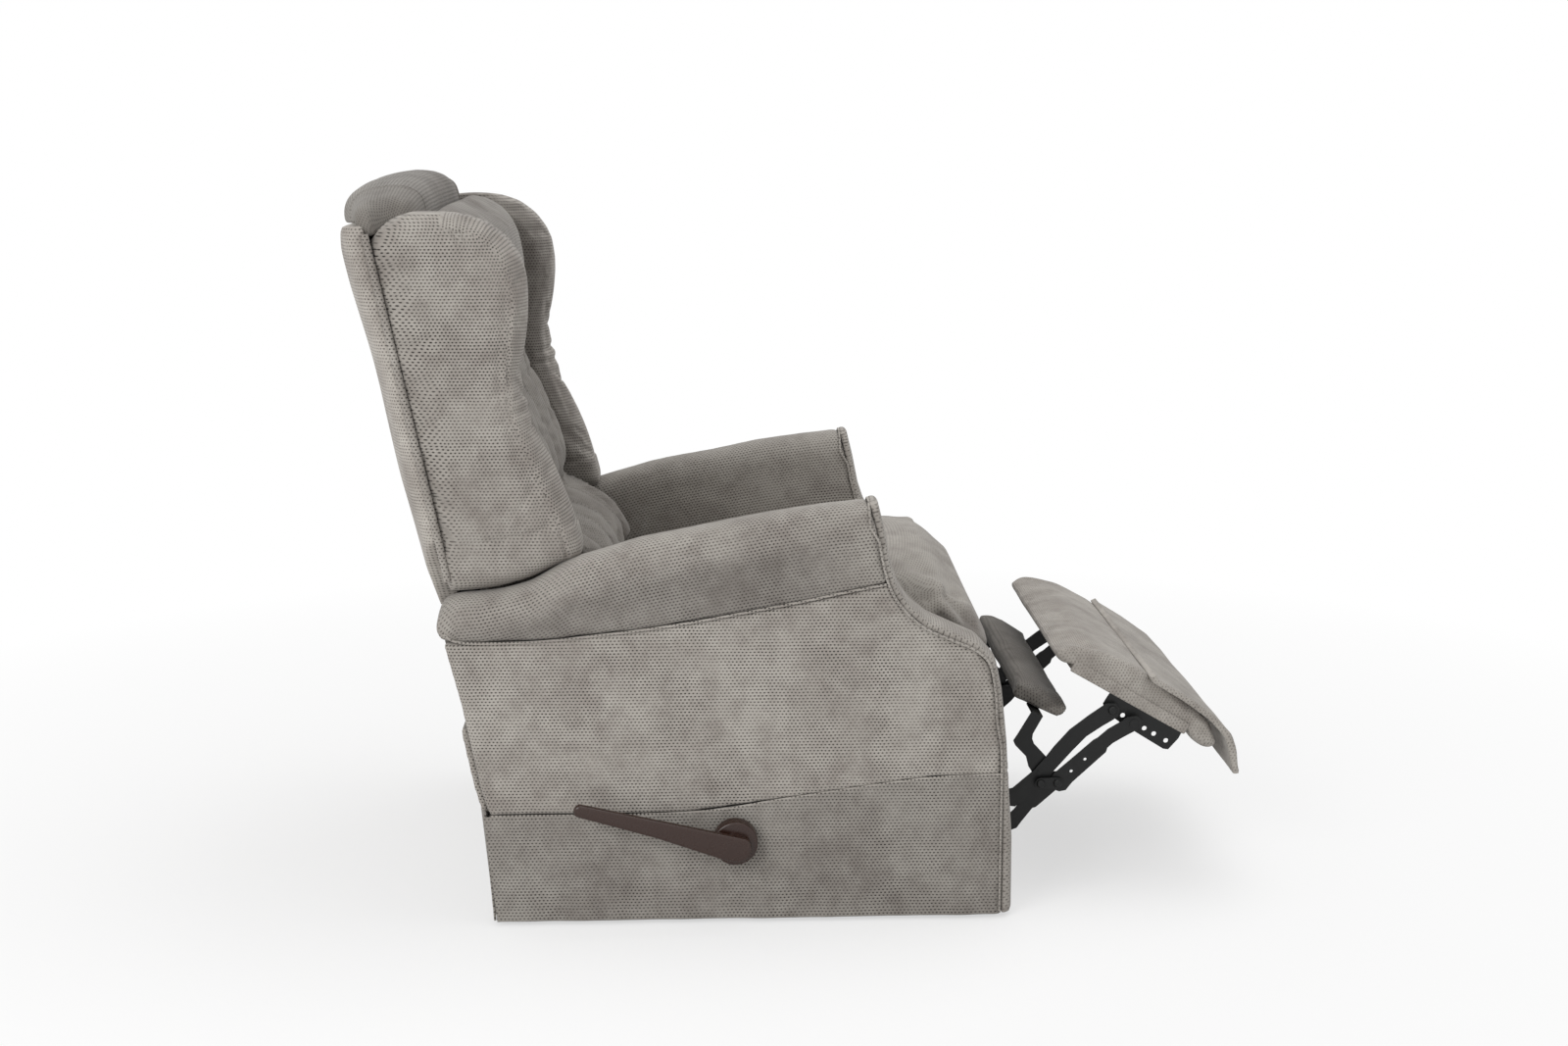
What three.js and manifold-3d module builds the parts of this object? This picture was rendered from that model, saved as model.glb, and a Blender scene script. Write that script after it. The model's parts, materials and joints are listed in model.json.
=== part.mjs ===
import * as THREE from 'three';
import { mergeVertices } from 'three/addons/utils/BufferGeometryUtils.js';
import Module from 'manifold-3d';

const wasm = await Module();
wasm.setup();

// Overall sizes in millimetres. X runs forward from the front of the arms, Z up from the floor.
const bodyWidth = 770;
const bodyDepth = 757;
const armHeight = 633;
const armWidth = 95;
const backRake = 11.5;
const seatHeight = 524;
const footrestLength = 296;
const footrestTilt = 30;
const hemHeight = 6;
const fit = 0.3;
const cutOverrun = 40;

// Arms
const boardThickness = 24;
const outerPadding = 23;
const rollPadding = 45;
const rollLip = 4;
const deckHeight = 300;
const boardFoot = 22;
const facingEdge = 5;
const facingCrown = 13;
const cornerSkirtBulge = 7;
const skirtThickness = 11;
const skirtProud = 3;
const apronThickness = 12;
const apronDrop = 5;
const apronFoot = 166;
const glideRadius = 14;
const glideSegments = 16;

// Steel base
const steel = 3;
const railInset = 60;
const railFoot = 8;
const railTop = 80;
const railLip = 30;
const railFront = -40;
const railRearGap = 57;
const tubeRadius = 11;
const tubeHeight = 20;
const frontTubePlace = -205;
const rearTubeInset = 117;
const rollerRadius = 10;
const rollerHeight = 50;
const rollerHub = 6;
const rollerPlay = 1;
const glideTravel = 40;
const glideSlope = 16;
const frontRollerPlace = -170;
const rearRollerInset = 157;

// Lever and its shaft
const leverPlace = -396;
const leverHeight = 132;
const hubRadius = 33;
const hubDepth = 22;
const hubClearance = 2;
const paddleLength = 252;
const paddleDrop = 94;
const paddleThickness = 13;
const paddleSoftening = 2.5;
const leverStand = 47;
const shaftRadius = 8;
const shaftInset = 12;

// Seat
const railStock = 45;
const sideRailFront = -100;
const seatRearInset = 117;
const railDepth = 34;
const deckRearInset = 67;
const springWire = 3.6;
const springSwing = 34;
const springInset = 42.7;
const springBends = 9;
const cushionSideGap = 7;
const cushionShort = 129;
const cushionCrown = 26;
const cushionEdge = 24;

// Linkage: flat plates in seven layers, numbered from the inside out
const layerPitch = 4.5;
const linkageRoom = 34;
const linkReach = 185;
const linkRise = 286;
const rivetRadius = 4;
const rivetHead = 7;
const headHeight = 1.5;
const flushHead = 0.9;
const crankHalfWidth = 9;
const linkHalfWidth = 10;
const bracketHoleRadius = 4;
const flangeWidth = 26;
const tabWidth = 52;

// Back
const pivotBehind = 43;
const pivotDrop = 193;
const frameDepth = 36;
const postWidth = 44;
const frameFoot = 40;
const frameTop = 606;
const railHeight = 44;
const shellDepth = 58;
const shellEdge = 8;
const shellFoot = 26;
const shellStep = 66;
const wingDepth = 212;
const wingInset = 35;
const wingPlay = 0.5;
const shellInset = 5;
const wingEdge = 20;
const crownInset = 47;
const crownFront = 88;
const crownRear = 57;
const crownRise = 45;
const crownArch = 12;
const innerPlay = 9;
const innerRear = 36.4;
const pillowGap = 8;
const headPillowDepth = 176;
const innerTop = 394;
const lumbarDepth = 252;
const channelCount = 5;
const channelDepth = 12;
const innerEdge = 22;

// Footrest
const footrestLap = 2;
const footrestBoard = 12;
const boardRear = 6;
const boardFront = 215;
const boardInset = 6;
const footrestEdge = 14;
const footrestLoft = 52;
const flapThickness = 10;
const flapOverhang = 36;
const flapEdge = 3;
const middlePlay = 8;
const middleLength = 95;
const middleHeight = 326;
const middleEdge = 9;

// Front line of an arm, seen from the side, from the top down: back from the front, and up
const frontLineShares = [
  [0.262, 1], [0.247, 0.927], [0.234, 0.848], [0.219, 0.795], [0.193, 0.749], [0.153, 0.708],
  [0.099, 0.678], [0.0555, 0.654], [0.0277, 0.617], [0.0159, 0.551], [0.0095, 0.483],
  [0.004, 0.42], [0.001, 0.356], [-0.001, 0.19], [-0.002, 0.0095],
];
// Top line of an arm from the rear forward: back from the front, up, and the seam below it
const armTopShares = [
  [1.094, 0.742, 0.706], [1.086, 0.768, 0.69], [1.071, 0.781, 0.684], [1.05, 0.787, 0.682],
  [1.007, 0.789, 0.682], [0.968, 0.796, 0.683], [0.914, 0.815, 0.684], [0.838, 0.866, 0.692],
  [0.704, 0.912, 0.71], [0.585, 0.941, 0.73], [0.454, 0.97, 0.757], [0.341, 0.991, 0.782],
  [0.262, 1, 0.803], [0.13, 1, 0.83], [0, 1, 0.86],
];
// Top seam of the skirt from the front back
const skirtSeamShares = [
  [0.002, 0.354], [0.14, 0.348], [0.27, 0.328], [0.43, 0.301], [0.62, 0.271], [1, 0.268],
];
const rearLineShares = [[1.002, 0.268], [1.016, 0.33], [1.049, 0.537], [1.079, 0.682]];

const side = { right: -1, left: 1 };
const halfBody = bodyWidth / 2;
const armOut = halfBody;
const armIn = halfBody - armWidth;
const boardOut = armOut - outerPadding;
const boardIn = boardOut - boardThickness;
const leverReach = armOut + leverStand;
const railWebOut = boardIn - railInset;
const railLength = bodyDepth + railFront - railRearGap;
const rearTubePlace = rearTubeInset - bodyDepth;
const rearRollerPlace = rearRollerInset - bodyDepth;
const sideRailLength = bodyDepth + sideRailFront - seatRearInset;
const firstLayer = railWebOut - linkageRoom;
const layerIn = (layer) => firstLayer + (layer - 1) * layerPitch;
const layerOut = (layer) => layerIn(layer) + steel;
const seatWidth = 2 * (armIn - cushionSideGap);
const seatDepth = bodyDepth - cushionShort;
const seatRailBase = deckHeight;
const seatRailTop = seatRailBase + railStock;
const cushionBase = seatRailTop + springWire + 2 * fit;
const sideRailIn = layerIn(3) - fit - railDepth;
const springPitch = sideRailIn - springInset;
const pivotPlace = -bodyDepth - pivotBehind;
const pivotHeight = armHeight - pivotDrop;
const apronHeight = pivotHeight - apronDrop;
const postOut = layerIn(2) - fit;
const wingOut = halfBody - wingInset;
const wingIn = layerOut(2) + wingPlay;
const wingHeight = frameTop;
const shellWidth = 2 * (wingOut - shellInset);
const crownWidth = 2 * (wingOut - crownInset);
const innerWidth = 2 * (wingIn - innerPlay);
const headPillowFoot = innerTop + pillowGap;
const footrestWidth = 2 * (layerOut(3) + footrestLap);
const middleWidth = 2 * (firstLayer - middlePlay);

function finish(name, color, roughness, metalness) {
  return new THREE.MeshStandardMaterial({ name, color, roughness, metalness });
}

const finishes = {
  fabric: finish('fabric', 0x8d857d, 0.95, 0),
  steel: finish('steel', 0x17181a, 0.5, 0.3),
  zinc: finish('zinc', 0xa9abad, 0.35, 0.9),
  timber: finish('timber', 0xc79f6b, 0.75, 0),
  moulding: finish('moulding', 0x3b2620, 0.42, 0),
  glide: finish('glide', 0x1d1d1e, 0.6, 0),
};

const chair = new THREE.Group();

function piece(parent, name, geometry, finish) {
  const mesh = new THREE.Mesh(geometry, finish.clone());
  mesh.name = name;
  parent.add(mesh);
  return mesh;
}

// Outlines, as points (forward, up) in the side view

function outline(shares, length, height) {
  return shares.map(([along, up]) => new THREE.Vector2(along * length, up * height));
}

function inset(points, distance) {
  const turn = Math.sign(THREE.ShapeUtils.area(points));
  return points.map((point, index) => {
    const before = points.at(index - 1);
    const after = points[(index + 1) % points.length];
    const along = after.clone().sub(before).normalize();
    return new THREE.Vector2(point.x - turn * along.y * distance, point.y + turn * along.x * distance);
  });
}

function shifted(points, distance) {
  return points.map((point, index) => {
    const before = points[Math.max(index - 1, 0)];
    const after = points[Math.min(index + 1, points.length - 1)];
    const along = after.clone().sub(before).normalize();
    return new THREE.Vector2(point.x - along.y * distance, point.y + along.x * distance);
  });
}

// Solids

function plate(points, from, to, holes = []) {
  const shape = new THREE.Shape(THREE.ShapeUtils.isClockWise(points) ? [...points].reverse() : points);
  for (const [center, radius] of holes) {
    const hole = new THREE.Path();
    hole.absarc(center.x, center.y, radius, 0, 2 * Math.PI, true);
    shape.holes.push(hole);
  }
  const depth = Math.abs(to - from);
  const geometry = new THREE.ExtrudeGeometry(shape, { depth, bevelEnabled: false, curveSegments: 5 });
  geometry.rotateX(Math.PI / 2);
  geometry.translate(0, Math.max(from, to), 0);
  return geometry;
}

function pin(center, radius, from, to, sides = 12) {
  const geometry = new THREE.CylinderGeometry(radius, radius, Math.abs(to - from), sides);
  geometry.translate(center.x, (from + to) / 2, center.y);
  return geometry;
}

function block(x, y, z) {
  const geometry = new THREE.BoxGeometry(Math.abs(x[1] - x[0]), Math.abs(y[1] - y[0]), Math.abs(z[1] - z[0]));
  geometry.translate((x[0] + x[1]) / 2, (y[0] + y[1]) / 2, (z[0] + z[1]) / 2);
  return geometry;
}

// Skins a row of rings that lie in parallel planes and closes both ends
function loft(rings, flatten) {
  const count = rings[0].length;
  const positions = rings.flat().flatMap((point) => point.toArray());
  const faces = [];
  for (let row = 0; row < rings.length - 1; row += 1) {
    for (let i = 0; i < count; i += 1) {
      const next = (i + 1) % count;
      const a = row * count + i;
      const b = row * count + next;
      faces.push(a, b, b + count, a, b + count, a + count);
    }
  }
  const capRing = (ring, start, reverse) => {
    const flat = ring.map(flatten);
    const turn = Math.sign(THREE.ShapeUtils.area(flat));
    for (const face of THREE.ShapeUtils.triangulateShape(flat, [])) {
      const spin = Math.sign(THREE.ShapeUtils.area(face.map((i) => flat[i])));
      const same = spin === turn;
      const corners = same !== reverse ? face : [face[0], face[2], face[1]];
      faces.push(...corners.map((i) => start + i));
    }
  };
  capRing(rings[0], 0, true);
  capRing(rings.at(-1), (rings.length - 1) * count, false);
  const geometry = new THREE.BufferGeometry();
  geometry.setAttribute('position', new THREE.Float32BufferAttribute(positions, 3));
  geometry.setIndex(faces);
  if (signedVolume(geometry) < 0) {
    geometry.setIndex(faces.reverse());
  }
  geometry.computeVertexNormals();
  return geometry;
}

function signedVolume(geometry) {
  const index = geometry.getIndex();
  const at = geometry.getAttribute('position');
  const [a, b, c] = [new THREE.Vector3(), new THREE.Vector3(), new THREE.Vector3()];
  let total = 0;
  for (let i = 0; i < index.count; i += 3) {
    a.fromBufferAttribute(at, index.getX(i));
    b.fromBufferAttribute(at, index.getX(i + 1));
    c.fromBufferAttribute(at, index.getX(i + 2));
    total += a.dot(b.cross(c)) / 6;
  }
  return total;
}

const sideView = (point) => new THREE.Vector2(point.x, point.z);
const frontView = (point) => new THREE.Vector2(point.y, point.z);

function drawnIn(profile, distance) {
  const box = new THREE.Box2().setFromPoints(profile);
  const center = box.getCenter(new THREE.Vector2());
  const size = box.getSize(new THREE.Vector2());
  const share = new THREE.Vector2(1 - 2 * distance / size.x, 1 - 2 * distance / size.y);
  return profile.map((point) => point.clone().sub(center).multiply(share).add(center));
}

// A soft piece whose side view is given: its ends draw in by the edge, and reshape puffs it
function padded(profile, yFrom, yTo, edge, spans, reshape = (point) => point) {
  const edgeShares = [[0, 1], [0.28, 0.42], [1, 0]];
  const rows = [];
  for (const [along, draw] of edgeShares) {
    rows.push([yFrom + along * edge, draw * edge]);
  }
  for (let i = 1; i < spans; i += 1) {
    rows.push([THREE.MathUtils.lerp(yFrom + edge, yTo - edge, i / spans), 0]);
  }
  for (const [along, draw] of [...edgeShares].reverse()) {
    rows.push([yTo - along * edge, draw * edge]);
  }
  const rings = rows.map(([y, draw]) => {
    return drawnIn(profile, draw).map((point) => {
      const moved = reshape(point, y);
      return new THREE.Vector3(moved.x, y, moved.y);
    });
  });
  return loft(rings, sideView);
}

const solids = new WeakMap();

function toSolid(geometry) {
  if (solids.has(geometry)) {
    return solids.get(geometry);
  }
  const bare = geometry.clone();
  bare.deleteAttribute('normal');
  bare.deleteAttribute('uv');
  const merged = mergeVertices(bare);
  return new wasm.Manifold(new wasm.Mesh({
    numProp: 3,
    vertProperties: new Float32Array(merged.getAttribute('position').array),
    triVerts: new Uint32Array(merged.getIndex().array),
  }));
}

function fromSolid(solid) {
  const mesh = solid.getMesh();
  const geometry = new THREE.BufferGeometry();
  geometry.setAttribute('position', new THREE.Float32BufferAttribute(mesh.vertProperties, 3));
  geometry.setIndex(new THREE.Uint32BufferAttribute(mesh.triVerts, 1));
  const faceted = geometry.toNonIndexed();
  faceted.computeVertexNormals();
  solids.set(faceted, solid);
  return faceted;
}

function join(...geometries) {
  return fromSolid(geometries.map(toSolid).reduce((whole, next) => whole.add(next)));
}

function cut(geometry, ...tools) {
  return fromSolid(tools.map(toSolid).reduce((whole, tool) => whole.subtract(tool), toSolid(geometry)));
}

function common(geometry, tool) {
  return fromSolid(toSolid(geometry).intersect(toSolid(tool)));
}

// Arms

const frontLine = outline(frontLineShares, -bodyDepth, armHeight);
const skirtSeam = outline(skirtSeamShares, -bodyDepth, armHeight);
const rearLine = outline(rearLineShares, -bodyDepth, armHeight);
const armTop = armTopShares.map(([along, up]) => new THREE.Vector2(-along * bodyDepth, up * armHeight));
const armSeam = armTopShares.map(([along, , seam]) => (
  new THREE.Vector2(-along * bodyDepth, seam * armHeight)
));
const boardTop = armTop.map((point, i) => {
  const up = Math.max(point.y - rollPadding, armSeam[i].y + rollLip);
  return new THREE.Vector2(point.x, up);
});

function frontRegion() {
  const line = shifted(frontLine, -fit);
  return [
    ...line,
    new THREE.Vector2(bodyDepth, line.at(-1).y - cutOverrun),
    new THREE.Vector2(bodyDepth, armHeight + cutOverrun),
    new THREE.Vector2(line[0].x, armHeight + cutOverrun),
  ];
}

function rollRing(x, top, seam, board, sign) {
  const roll = armWidth;
  const points = [
    [armOut, seam], [armOut + 0.03 * roll, THREE.MathUtils.lerp(seam, top, 0.4)],
    [armOut - 0.02 * roll, THREE.MathUtils.lerp(seam, top, 0.76)],
    [armOut - 0.13 * roll, top - 0.11 * roll], [armOut - 0.3 * roll, top - 0.02 * roll],
    [armOut - 0.5 * roll, top], [armIn + 0.3 * roll, top - 0.02 * roll],
    [armIn + 0.12 * roll, top - 0.12 * roll], [armIn + 0.01 * roll, top - 0.34 * roll],
    [armIn, top - 0.9 * roll], [armIn, deckHeight], [boardIn - fit, deckHeight],
    [boardIn - fit, board + fit], [boardOut + fit, board + fit], [boardOut + fit, seam],
  ];
  return points.map(([out, up]) => new THREE.Vector3(x, sign * out, up));
}

function armPad(sign) {
  const rings = armTop.map((top, i) => rollRing(top.x, top.y, armSeam[i].y, boardTop[i].y, sign));
  const front = plate(frontRegion(), -bodyWidth, bodyWidth);
  return cut(loft(rings, frontView), front);
}

function armBoard(sign) {
  const front = plate(frontRegion(), -bodyWidth, bodyWidth);
  const rear = [...rearLine];
  const points = [
    new THREE.Vector2(0, boardFoot),
    new THREE.Vector2(0, armHeight - rollPadding),
    ...boardTop.filter((point) => point.x > rear.at(-1).x).reverse().slice(1),
    new THREE.Vector2(rear.at(-1).x, boardTop[1].y),
    ...rear.reverse(),
    new THREE.Vector2(-bodyDepth, boardFoot),
  ];
  const shaft = pin(new THREE.Vector2(leverPlace, leverHeight), shaftRadius + fit, -bodyWidth, bodyWidth);
  return cut(plate(points, sign * boardIn, sign * boardOut), front, shaft);
}

function outerPanel(sign) {
  const rear = [...rearLine];
  const points = [
    ...skirtSeam.map((point) => new THREE.Vector2(point.x, point.y + fit)),
    ...rear.slice(1),
    ...armSeam.slice(3).map((point) => new THREE.Vector2(point.x, point.y - fit)),
  ];
  const front = plate(frontRegion(), -bodyWidth, bodyWidth);
  return cut(plate(points, sign * (boardOut + fit), sign * armOut), front);
}

function facing(sign) {
  const skirtTop = skirtSeam[0].y;
  const rows = [[0, 0], [0.08, 0.62], [0.28, 0.93], [0.5, 1], [0.72, 0.93], [0.92, 0.62], [1, 0]];
  const rings = rows.map(([across, puff]) => {
    const thickness = THREE.MathUtils.lerp(facingEdge, facingCrown, puff);
    const front = shifted(frontLine, thickness).map((point) => {
      const bulge = point.y < skirtTop ? cornerSkirtBulge * puff : 0;
      return new THREE.Vector2(point.x + bulge, Math.max(point.y, hemHeight));
    });
    const back = frontLine.map((point) => new THREE.Vector2(point.x, Math.max(point.y, hemHeight)));
    const y = sign * THREE.MathUtils.lerp(armIn, armOut, across);
    return [...back, ...front.reverse()].map((point) => new THREE.Vector3(point.x, y, point.y));
  });
  const section = rollRing(0, armHeight + facingEdge, armHeight / 2, armHeight / 3, sign).slice(0, 10);
  const round = [...section.map((point) => new THREE.Vector2(point.y, point.z))];
  round.push(new THREE.Vector2(sign * armIn, 0), new THREE.Vector2(sign * armOut, 0));
  const shape = new THREE.Shape(round);
  const tunnel = new THREE.ExtrudeGeometry(shape, { depth: 2 * bodyDepth, bevelEnabled: false });
  tunnel.rotateX(Math.PI / 2);
  tunnel.rotateZ(Math.PI / 2);
  tunnel.translate(-bodyDepth, 0, 0);
  return common(loft(rings, sideView), tunnel);
}

function sideSkirt(sign) {
  const top = skirtSeam.map((point) => new THREE.Vector2(point.x, point.y - fit));
  const points = [
    ...top,
    new THREE.Vector2(-bodyDepth, hemHeight),
    new THREE.Vector2(top[0].x, hemHeight),
  ];
  const outside = armOut + skirtProud;
  const skirt = plate(points, sign * (outside - skirtThickness), sign * outside);
  if (sign === side.left) {
    return skirt;
  }
  const shaft = pin(new THREE.Vector2(leverPlace, leverHeight), shaftRadius + facingEdge, -bodyWidth, 0);
  return cut(skirt, shaft);
}

for (const [name, sign] of Object.entries(side)) {
  piece(chair, `arm_board_${name}`, armBoard(sign), finishes.timber);
  piece(chair, `arm_pad_${name}`, armPad(sign), finishes.fabric);
  piece(chair, `outer_panel_${name}`, outerPanel(sign), finishes.fabric);
  piece(chair, `front_facing_${name}`, facing(sign), finishes.fabric);
  piece(chair, `side_skirt_${name}`, sideSkirt(sign), finishes.fabric);
}

// Rear panel and skirt

function rearApron() {
  const inner = shifted(rearLine, fit).map((point) => new THREE.Vector2(
    point.x,
    Math.min(Math.max(point.y, apronFoot), apronHeight),
  ));
  const outer = inner.map((point) => new THREE.Vector2(point.x - apronThickness, point.y)).reverse();
  const steps = Object.values(side).map((sign) => (
    block([-2 * bodyDepth, 0], [sign * (armIn - fit), sign * bodyWidth], [deckHeight - fit, armHeight])
  ));
  return cut(plate([...inner, ...outer], -boardOut, boardOut), ...steps);
}

function rearSkirt() {
  const inner = -bodyDepth - fit;
  const top = apronFoot - fit;
  const lean = skirtThickness / 2;
  const points = [
    new THREE.Vector2(inner, hemHeight),
    new THREE.Vector2(inner - lean, top),
    new THREE.Vector2(inner - lean - skirtThickness, top),
    new THREE.Vector2(inner - skirtThickness, hemHeight),
  ];
  const half = armOut - skirtThickness;
  return plate(points, -half, half);
}

piece(chair, 'rear_apron', rearApron(), finishes.fabric);
piece(chair, 'rear_skirt', rearSkirt(), finishes.fabric);

// Glides under the arm boards

const glidePlaceShares = { front: 0.07, rear: 0.93 };
for (const [name, sign] of Object.entries(side)) {
  for (const [end, share] of Object.entries(glidePlaceShares)) {
    const height = boardFoot - fit;
    const foot = new THREE.LatheGeometry([
      new THREE.Vector2(0, 0), new THREE.Vector2(0.8 * glideRadius, 0),
      new THREE.Vector2(glideRadius, 0.2 * height), new THREE.Vector2(0.85 * glideRadius, height),
      new THREE.Vector2(0, height),
    ], glideSegments);
    foot.rotateX(Math.PI / 2);
    const mesh = piece(chair, `glide_${end}_${name}`, foot, finishes.glide);
    mesh.position.set(-share * bodyDepth, sign * (boardIn + boardOut) / 2, 0);
  }
}

// Steel base: two slotted rails joined by two tubes

function slot(place) {
  const slope = glideSlope * Math.PI / 180;
  const start = new THREE.Vector2(place, rollerHeight);
  const end = new THREE.Vector2(Math.cos(slope), Math.sin(slope)).multiplyScalar(glideTravel).add(start);
  return bar(start, end, rollerRadius + rollerPlay, 6);
}

function baseRail(sign) {
  const ends = [railFront - railLength, railFront];
  const webIn = railWebOut - steel;
  const lipOut = boardIn - fit;
  const web = block(ends, [sign * webIn, sign * railWebOut], [railFoot, railTop]);
  const flange = block(ends, [sign * webIn, sign * lipOut], [railTop - steel, railTop]);
  const lip = block(ends, [sign * (lipOut - steel), sign * lipOut], [railTop - steel, railTop + railLip]);
  const slots = [frontRollerPlace, rearRollerPlace].map((place) => (
    plate(slot(place), sign * (webIn - cutOverrun / 4), sign * (railWebOut + cutOverrun / 4))
  ));
  return cut(join(web, flange, lip), ...slots);
}

for (const [name, sign] of Object.entries(side)) {
  piece(chair, `base_rail_${name}`, baseRail(sign), finishes.steel);
}
for (const [name, place] of Object.entries({ front: frontTubePlace, rear: rearTubePlace })) {
  const half = railWebOut - steel - fit;
  const geometry = pin(new THREE.Vector2(0, 0), tubeRadius, -half, half, 14);
  const mesh = piece(chair, `cross_tube_${name}`, geometry, finishes.steel);
  mesh.position.set(place, 0, tubeHeight);
}

// Lever on its cross shaft

const paddleShares = [
  [0.985, 0], [1, 0.07], [0.992, 0.17], [0.55, 0.55], [0.2, 0.9], [0.1, 0.985], [0.045, 0.95],
  [0.005, 0.83], [0, 0.7], [0.04, 0.6],
];

function lever() {
  const rise = leverHeight + 0.74 * paddleDrop;
  const start = leverPlace + 0.7 * hubRadius;
  const points = paddleShares.map(([along, down]) => (
    new THREE.Vector2(start - along * paddleLength, rise - down * paddleDrop)
  ));
  const shape = new THREE.Shape(inset(points, paddleSoftening));
  const depth = paddleThickness - 2 * paddleSoftening;
  const paddle = new THREE.ExtrudeGeometry(shape, {
    depth, bevelEnabled: true, bevelSize: paddleSoftening, bevelThickness: paddleSoftening, bevelSegments: 2,
  });
  paddle.rotateX(Math.PI / 2);
  paddle.translate(0, -leverReach + paddleThickness - paddleSoftening, 0);
  const inner = armOut + skirtProud + hubClearance;
  const face = inner + hubDepth;
  const hub = new THREE.LatheGeometry([
    new THREE.Vector2(0, inner),
    new THREE.Vector2(hubRadius, inner),
    new THREE.Vector2(hubRadius, face - paddleSoftening),
    new THREE.Vector2(hubRadius - paddleSoftening, face),
    new THREE.Vector2(0, face),
  ], 28);
  hub.rotateX(Math.PI);
  hub.translate(leverPlace, 0, leverHeight);
  const center = new THREE.Vector2(leverPlace, leverHeight);
  const web = pin(center, 0.55 * hubRadius, -face + fit, -leverReach + paddleSoftening);
  return join(hub, web, paddle);
}

piece(chair, 'lever', lever(), finishes.moulding);
const shaftFrom = fit - armOut - skirtProud - hubClearance;
const shaftTo = boardOut - shaftInset;
const shaft = pin(new THREE.Vector2(0, 0), shaftRadius, shaftFrom, shaftTo, 12);
const shaftMesh = piece(chair, 'lever_shaft', shaft, finishes.steel);
shaftMesh.position.set(leverPlace, 0, leverHeight);

// Linkage, laid out on the floor plane and the front of the arms

const linkPlace = (along, up) => new THREE.Vector2(along * linkReach, up * linkRise);
const pivotShares = {
  seatFront: [-0.227, 0.2762],
  seatRear: [-0.5622, 0.1923],
  knee: [0.4081, 0.6049],
  tail: [0.1297, 0.5175],
  lower: [0.5486, 0.6073],
  padRear: [1, 1],
  padFront: [1.1784, 0.9301],
  middle: [0.4054, 0.6573],
};
const pivots = Object.fromEntries(
  Object.entries(pivotShares).map(([name, share]) => [name, linkPlace(...share)]),
);
const lowerLinkShares = [
  [0.497, 0.591], [0.524, 0.566], [0.567, 0.556], [0.622, 0.563], [0.676, 0.608], [0.951, 0.773],
  [0.962, 0.797], [1.005, 0.822], [1.097, 0.857], [1.178, 0.885], [1.238, 0.909], [1.249, 0.944],
  [1.2, 0.972], [1.124, 0.965], [1.054, 0.934], [0.962, 0.899], [0.881, 0.853], [0.843, 0.839],
  [0.692, 0.752], [0.519, 0.654], [0.492, 0.626],
];
const lowerLinkHoleShares = [[0.665, 0.668], [0.778, 0.734]];
const kneeLinkShares = [
  [-0.227, 0.227], [-0.281, 0.245], [-0.303, 0.28], [-0.27, 0.315], [-0.216, 0.325], [-0.054, 0.348],
  [0.108, 0.378], [0.205, 0.434], [0.292, 0.507], [0.335, 0.577], [0.346, 0.64], [0.411, 0.65], [0.5, 0.646],
  [0.573, 0.648], [0.611, 0.629], [0.614, 0.587], [0.562, 0.547], [0.432, 0.472], [0.389, 0.448],
  [0.362, 0.444], [0.27, 0.367], [0.232, 0.332], [0.108, 0.301], [-0.054, 0.264], [-0.162, 0.236],
];
const upperLinkShares = [
  [0.076, 0.493], [0.07, 0.53], [0.1, 0.56], [0.184, 0.573], [0.346, 0.664], [0.459, 0.748], [0.524, 0.804],
  [0.649, 0.895], [0.811, 0.976], [0.951, 1.038], [1.027, 1.038], [1.059, 1.007], [1.049, 0.965],
  [1, 0.944], [0.919, 0.913], [0.789, 0.857], [0.676, 0.78], [0.519, 0.664], [0.476, 0.594], [0.411, 0.559],
  [0.346, 0.563], [0.292, 0.514], [0.205, 0.469], [0.119, 0.476],
];
const bracketShares = [
  [0.93, 1.028], [0.968, 1.07], [0.995, 1.095], [1.6, 0.8692], [1.568, 0.829], [1.486, 0.769], [1.443, 0.773],
  [1.168, 0.885], [1.076, 0.923], [1.005, 0.958], [0.951, 0.986],
];
const bracketHoleShares = [[1.097, 0.962], [1.281, 0.888], [1.362, 0.857], [1.465, 0.818]];
const strapShares = [
  [0.335, 0.9958], [0.222, 0.871], [0.184, 0.832], [0.2, 0.808], [0.292, 0.745], [0.314, 0.689], [0.351, 0.65],
  [0.378, 0.633], [0.432, 0.633], [0.462, 0.657], [0.465, 0.738], [0.357, 0.815], [0.341, 0.843],
  [0.346, 0.871], [0.427, 0.9675],
];

// A plate outline with two round ends
function bar(from, to, radius, steps = 5) {
  const across = to.clone().sub(from).setLength(radius).rotateAround(new THREE.Vector2(), Math.PI / 2);
  const points = [];
  for (const [center, turn] of [[to, 0], [from, Math.PI]]) {
    for (let i = 0; i <= steps; i += 1) {
      const angle = turn - Math.PI * i / steps;
      points.push(across.clone().rotateAround(new THREE.Vector2(), angle).add(center));
    }
  }
  return points;
}

const clearHole = (center) => [center, rivetRadius + fit];

const squareTo = (from, to) => new THREE.Vector2(to.y - from.y, from.x - to.x);

function rivet(center, from, to, headAt, sign) {
  const headTo = headAt + Math.sign(headAt - from) * headHeight;
  return join(
    pin(center, rivetRadius, sign * from, sign * to),
    pin(center, rivetHead, sign * headAt, sign * headTo),
  );
}

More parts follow.
